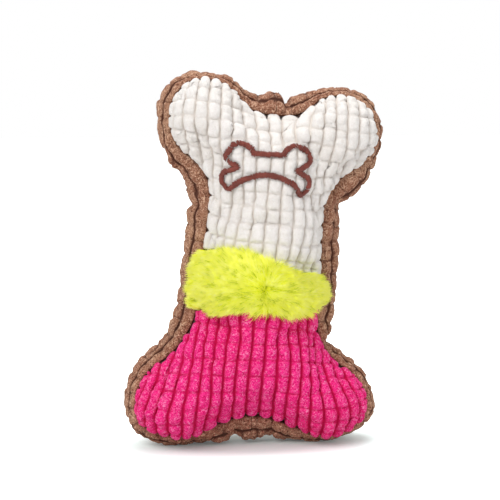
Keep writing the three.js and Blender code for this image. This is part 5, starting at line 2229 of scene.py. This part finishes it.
@dataclass
class Studio:
    """White floor, soft lamps and the camera."""

    lens: float = 100.0
    sensor: float = 36.0
    view_width: float = 285.2
    azimuth: float = -7.0
    elevation: float = 8.0
    target: Triple = (-2.3, 0.0, 113.5)
    floor_size: float = 6.0
    lamps: tuple[Lamp, ...] = (
        Lamp("key", (-0.72, -0.92, 1.05), 0.9, 12.2),
        Lamp("fill", (1.0, -0.9, 0.6), 1.0, 3.5),
        Lamp("top", (0.1, 0.25, 1.3), 0.9, 7.2),
        Lamp("rear", (-0.3, 1.2, 0.8), 1.0, 5.0),
    )
    aim: Triple = (0.0, 0.0, 0.1)
    ambient: float = 0.45
    white: Colour = (1.0, 1.0, 1.0)
    floor_colour: Colour = (0.78, 0.9, 0.88)
    bounce: Colour = (0.8, 0.8, 0.8)
    shadow: Colour = (0.08, 0.08, 0.08)
    shadow_half: Pair = (75.0, 25.0)
    shadow_over: Pair = (0.5, 1.75)

    def build(self) -> None:
        """Sets the stage."""
        self._floor()
        self._lights()
        self._camera()
        bpy.context.scene.view_settings.view_transform = "Standard"

    def _seen(self, paint: Paint) -> Shade:
        """Says what the camera sees, straight on, in gloss or through clear plastic.

        Args:
            paint: Nodes that ask for it.

        Returns:
            1 where the camera sees it and 0 elsewhere.
        """
        rays = paint.node("LightPath")
        seen = rays["Is Camera Ray"]
        for kind in ("Is Glossy Ray", "Is Transmission Ray"):
            seen = paint.node("Math", {"operation": "MAXIMUM"}, {0: seen, 1: rays[kind]})[0]
        return seen

    def _floor(self) -> None:
        """White floor that keeps the toy's shadow."""
        bpy.ops.object.select_all(action="DESELECT")
        bpy.ops.mesh.primitive_plane_add(size=self.floor_size, location=(0, 0, 0))
        floor = bpy.context.object
        floor.name = "floor"
        paint = Paint(bpy.data.materials.new("floor white"))
        place = paint.node("TexCoord")["Object"]
        shares = (*(1 / (half * MM) for half in self.shadow_half), 0.0)
        scaled = paint.node("VectorMath", {"operation": "MULTIPLY"}, {0: place, 1: shares})[0]
        away = paint.node("VectorMath", {"operation": "LENGTH"}, {0: scaled})["Value"]
        glow = paint.mix(paint.steep(away, *self.shadow_over), self.shadow, self.white)
        plain = paint.node("BsdfDiffuse", {}, {"Color": (*self.bounce, 1.0)})["BSDF"]
        white = paint.node("BsdfPrincipled", {}, {
            "Base Color": (*self.floor_colour, 1.0), "Roughness": 1.0, "Specular IOR Level": 0.0,
            "Emission Color": glow, "Emission Strength": 1.0})["BSDF"]
        both = paint.node("MixShader", {}, {0: self._seen(paint), 1: plain, 2: white})["Shader"]
        paint.node("OutputMaterial", {}, {"Surface": both})
        floor.data.materials.append(paint.owner)

    def _lights(self) -> None:
        """Lamps and the room's own light."""
        for lamp in self.lamps:
            light = bpy.data.lights.new(lamp.name, "AREA")
            light.shape, light.size, light.energy = "DISK", lamp.width, lamp.power
            obj = bpy.data.objects.new(lamp.name, light)
            obj.location = lamp.place
            aim = Vector(self.aim) - obj.location
            obj.rotation_euler = aim.to_track_quat("-Z", "Y").to_euler()
            bpy.context.scene.collection.objects.link(obj)
        paint = Paint(bpy.data.worlds.new("studio"))
        bpy.context.scene.world = paint.owner
        dim, white = (
            paint.node("Background", {}, {"Color": (*self.white, 1.0), "Strength": strength})[0]
            for strength in (self.ambient, 1.0))
        both = paint.node("MixShader", {}, {0: self._seen(paint), 1: dim, 2: white})["Shader"]
        paint.node("OutputWorld", {}, {"Surface": both})

    def _camera(self) -> None:
        """Camera at the photograph's angle."""
        data = bpy.data.cameras.new("camera")
        data.lens, data.sensor_width = self.lens, self.sensor
        camera = bpy.data.objects.new("camera", data)
        azimuth, elevation = math.radians(self.azimuth), math.radians(self.elevation)
        level = math.cos(elevation)
        back = Vector((math.sin(azimuth) * level, -math.cos(azimuth) * level, math.sin(elevation)))
        distance = self.view_width * MM * self.lens / self.sensor
        camera.location = Vector(self.target) * MM + back * distance
        camera.rotation_euler = (-back).to_track_quat("-Z", "Y").to_euler()
        bpy.context.scene.collection.objects.link(camera)
        bpy.context.scene.camera = camera


@dataclass
class PlushBone:
    """The whole toy.

    The cloths of the faces end inside their seam, and lie under the pattern's surface by half the height of
    their cords.
    """

    rim_inset: float = 1.3
    sink: float = 1.3
    span: tuple[float, float, float, float] = (-94.0, 94.0, -22.0, 236.0)
    upper_from: float = 100.0
    lower_to: float = 92.0
    badge: Badge = field(default_factory=Badge)
    border: Border = field(default_factory=Border)
    band: FurBand = field(default_factory=FurBand)
    sewing: Sewing = field(default_factory=Sewing)
    stuffing: Stuffing = field(default_factory=Stuffing)
    squeaker: Squeaker = field(default_factory=Squeaker)

    def build(self) -> None:
        """Makes every piece and reports it."""
        bag = StuffedBag()
        front, back = (ClothFace(face, self.rim_inset, -self.sink, bag) for face in Face)
        left, right, foot, head = self.span
        upper = Panel(
            "upper_panel", "front_upper_panel", Slot.WHITE, Corduroy(seed=21), self.band.above,
            (left, right, self.upper_from, head), self.badge.outline())
        lower = Panel(
            "lower_panel", "front_lower_panel", Slot.PINK,
            Corduroy(seed=41, cord_share=0.88, cross_cut=0.4, cut_width=0.72, boxiness=2.0, phase=0.58),
            self.band.below, (left, right, foot, self.lower_to))
        rear = Panel(
            "back_cloth", "back_panel", Slot.BROWN, Corduroy(seed=61, relief=2.2, rows_per_cell=11),
            everywhere, self.span)
        for panel, surface in ((upper, front), (lower, front), (rear, back)):
            obj = panel.build(surface)
            if surface is front:
                give_front(obj)
            else:
                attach(obj, Body.BACK.value)
            self._report([obj])
        self._report(self.border.build(bag))
        self._report(self.band.build(front))
        self._report([self.badge.build(front)])
        self._report(self.sewing.build(front, self.band))
        self._report(self.stuffing.build())
        self._report(self.squeaker.build())

    @staticmethod
    def _report(pieces: list[Piece]) -> None:
        """Logs finished pieces."""
        for piece in pieces:
            LOG.info("made %s with %d faces", piece.name, len(piece.data.polygons))


def main() -> None:
    """Builds the toy and the studio."""
    logging.basicConfig(level=logging.INFO, format="%(name)s: %(message)s")
    Studio().build()
    PlushBone().build()


if __name__ == "__main__":
    main()
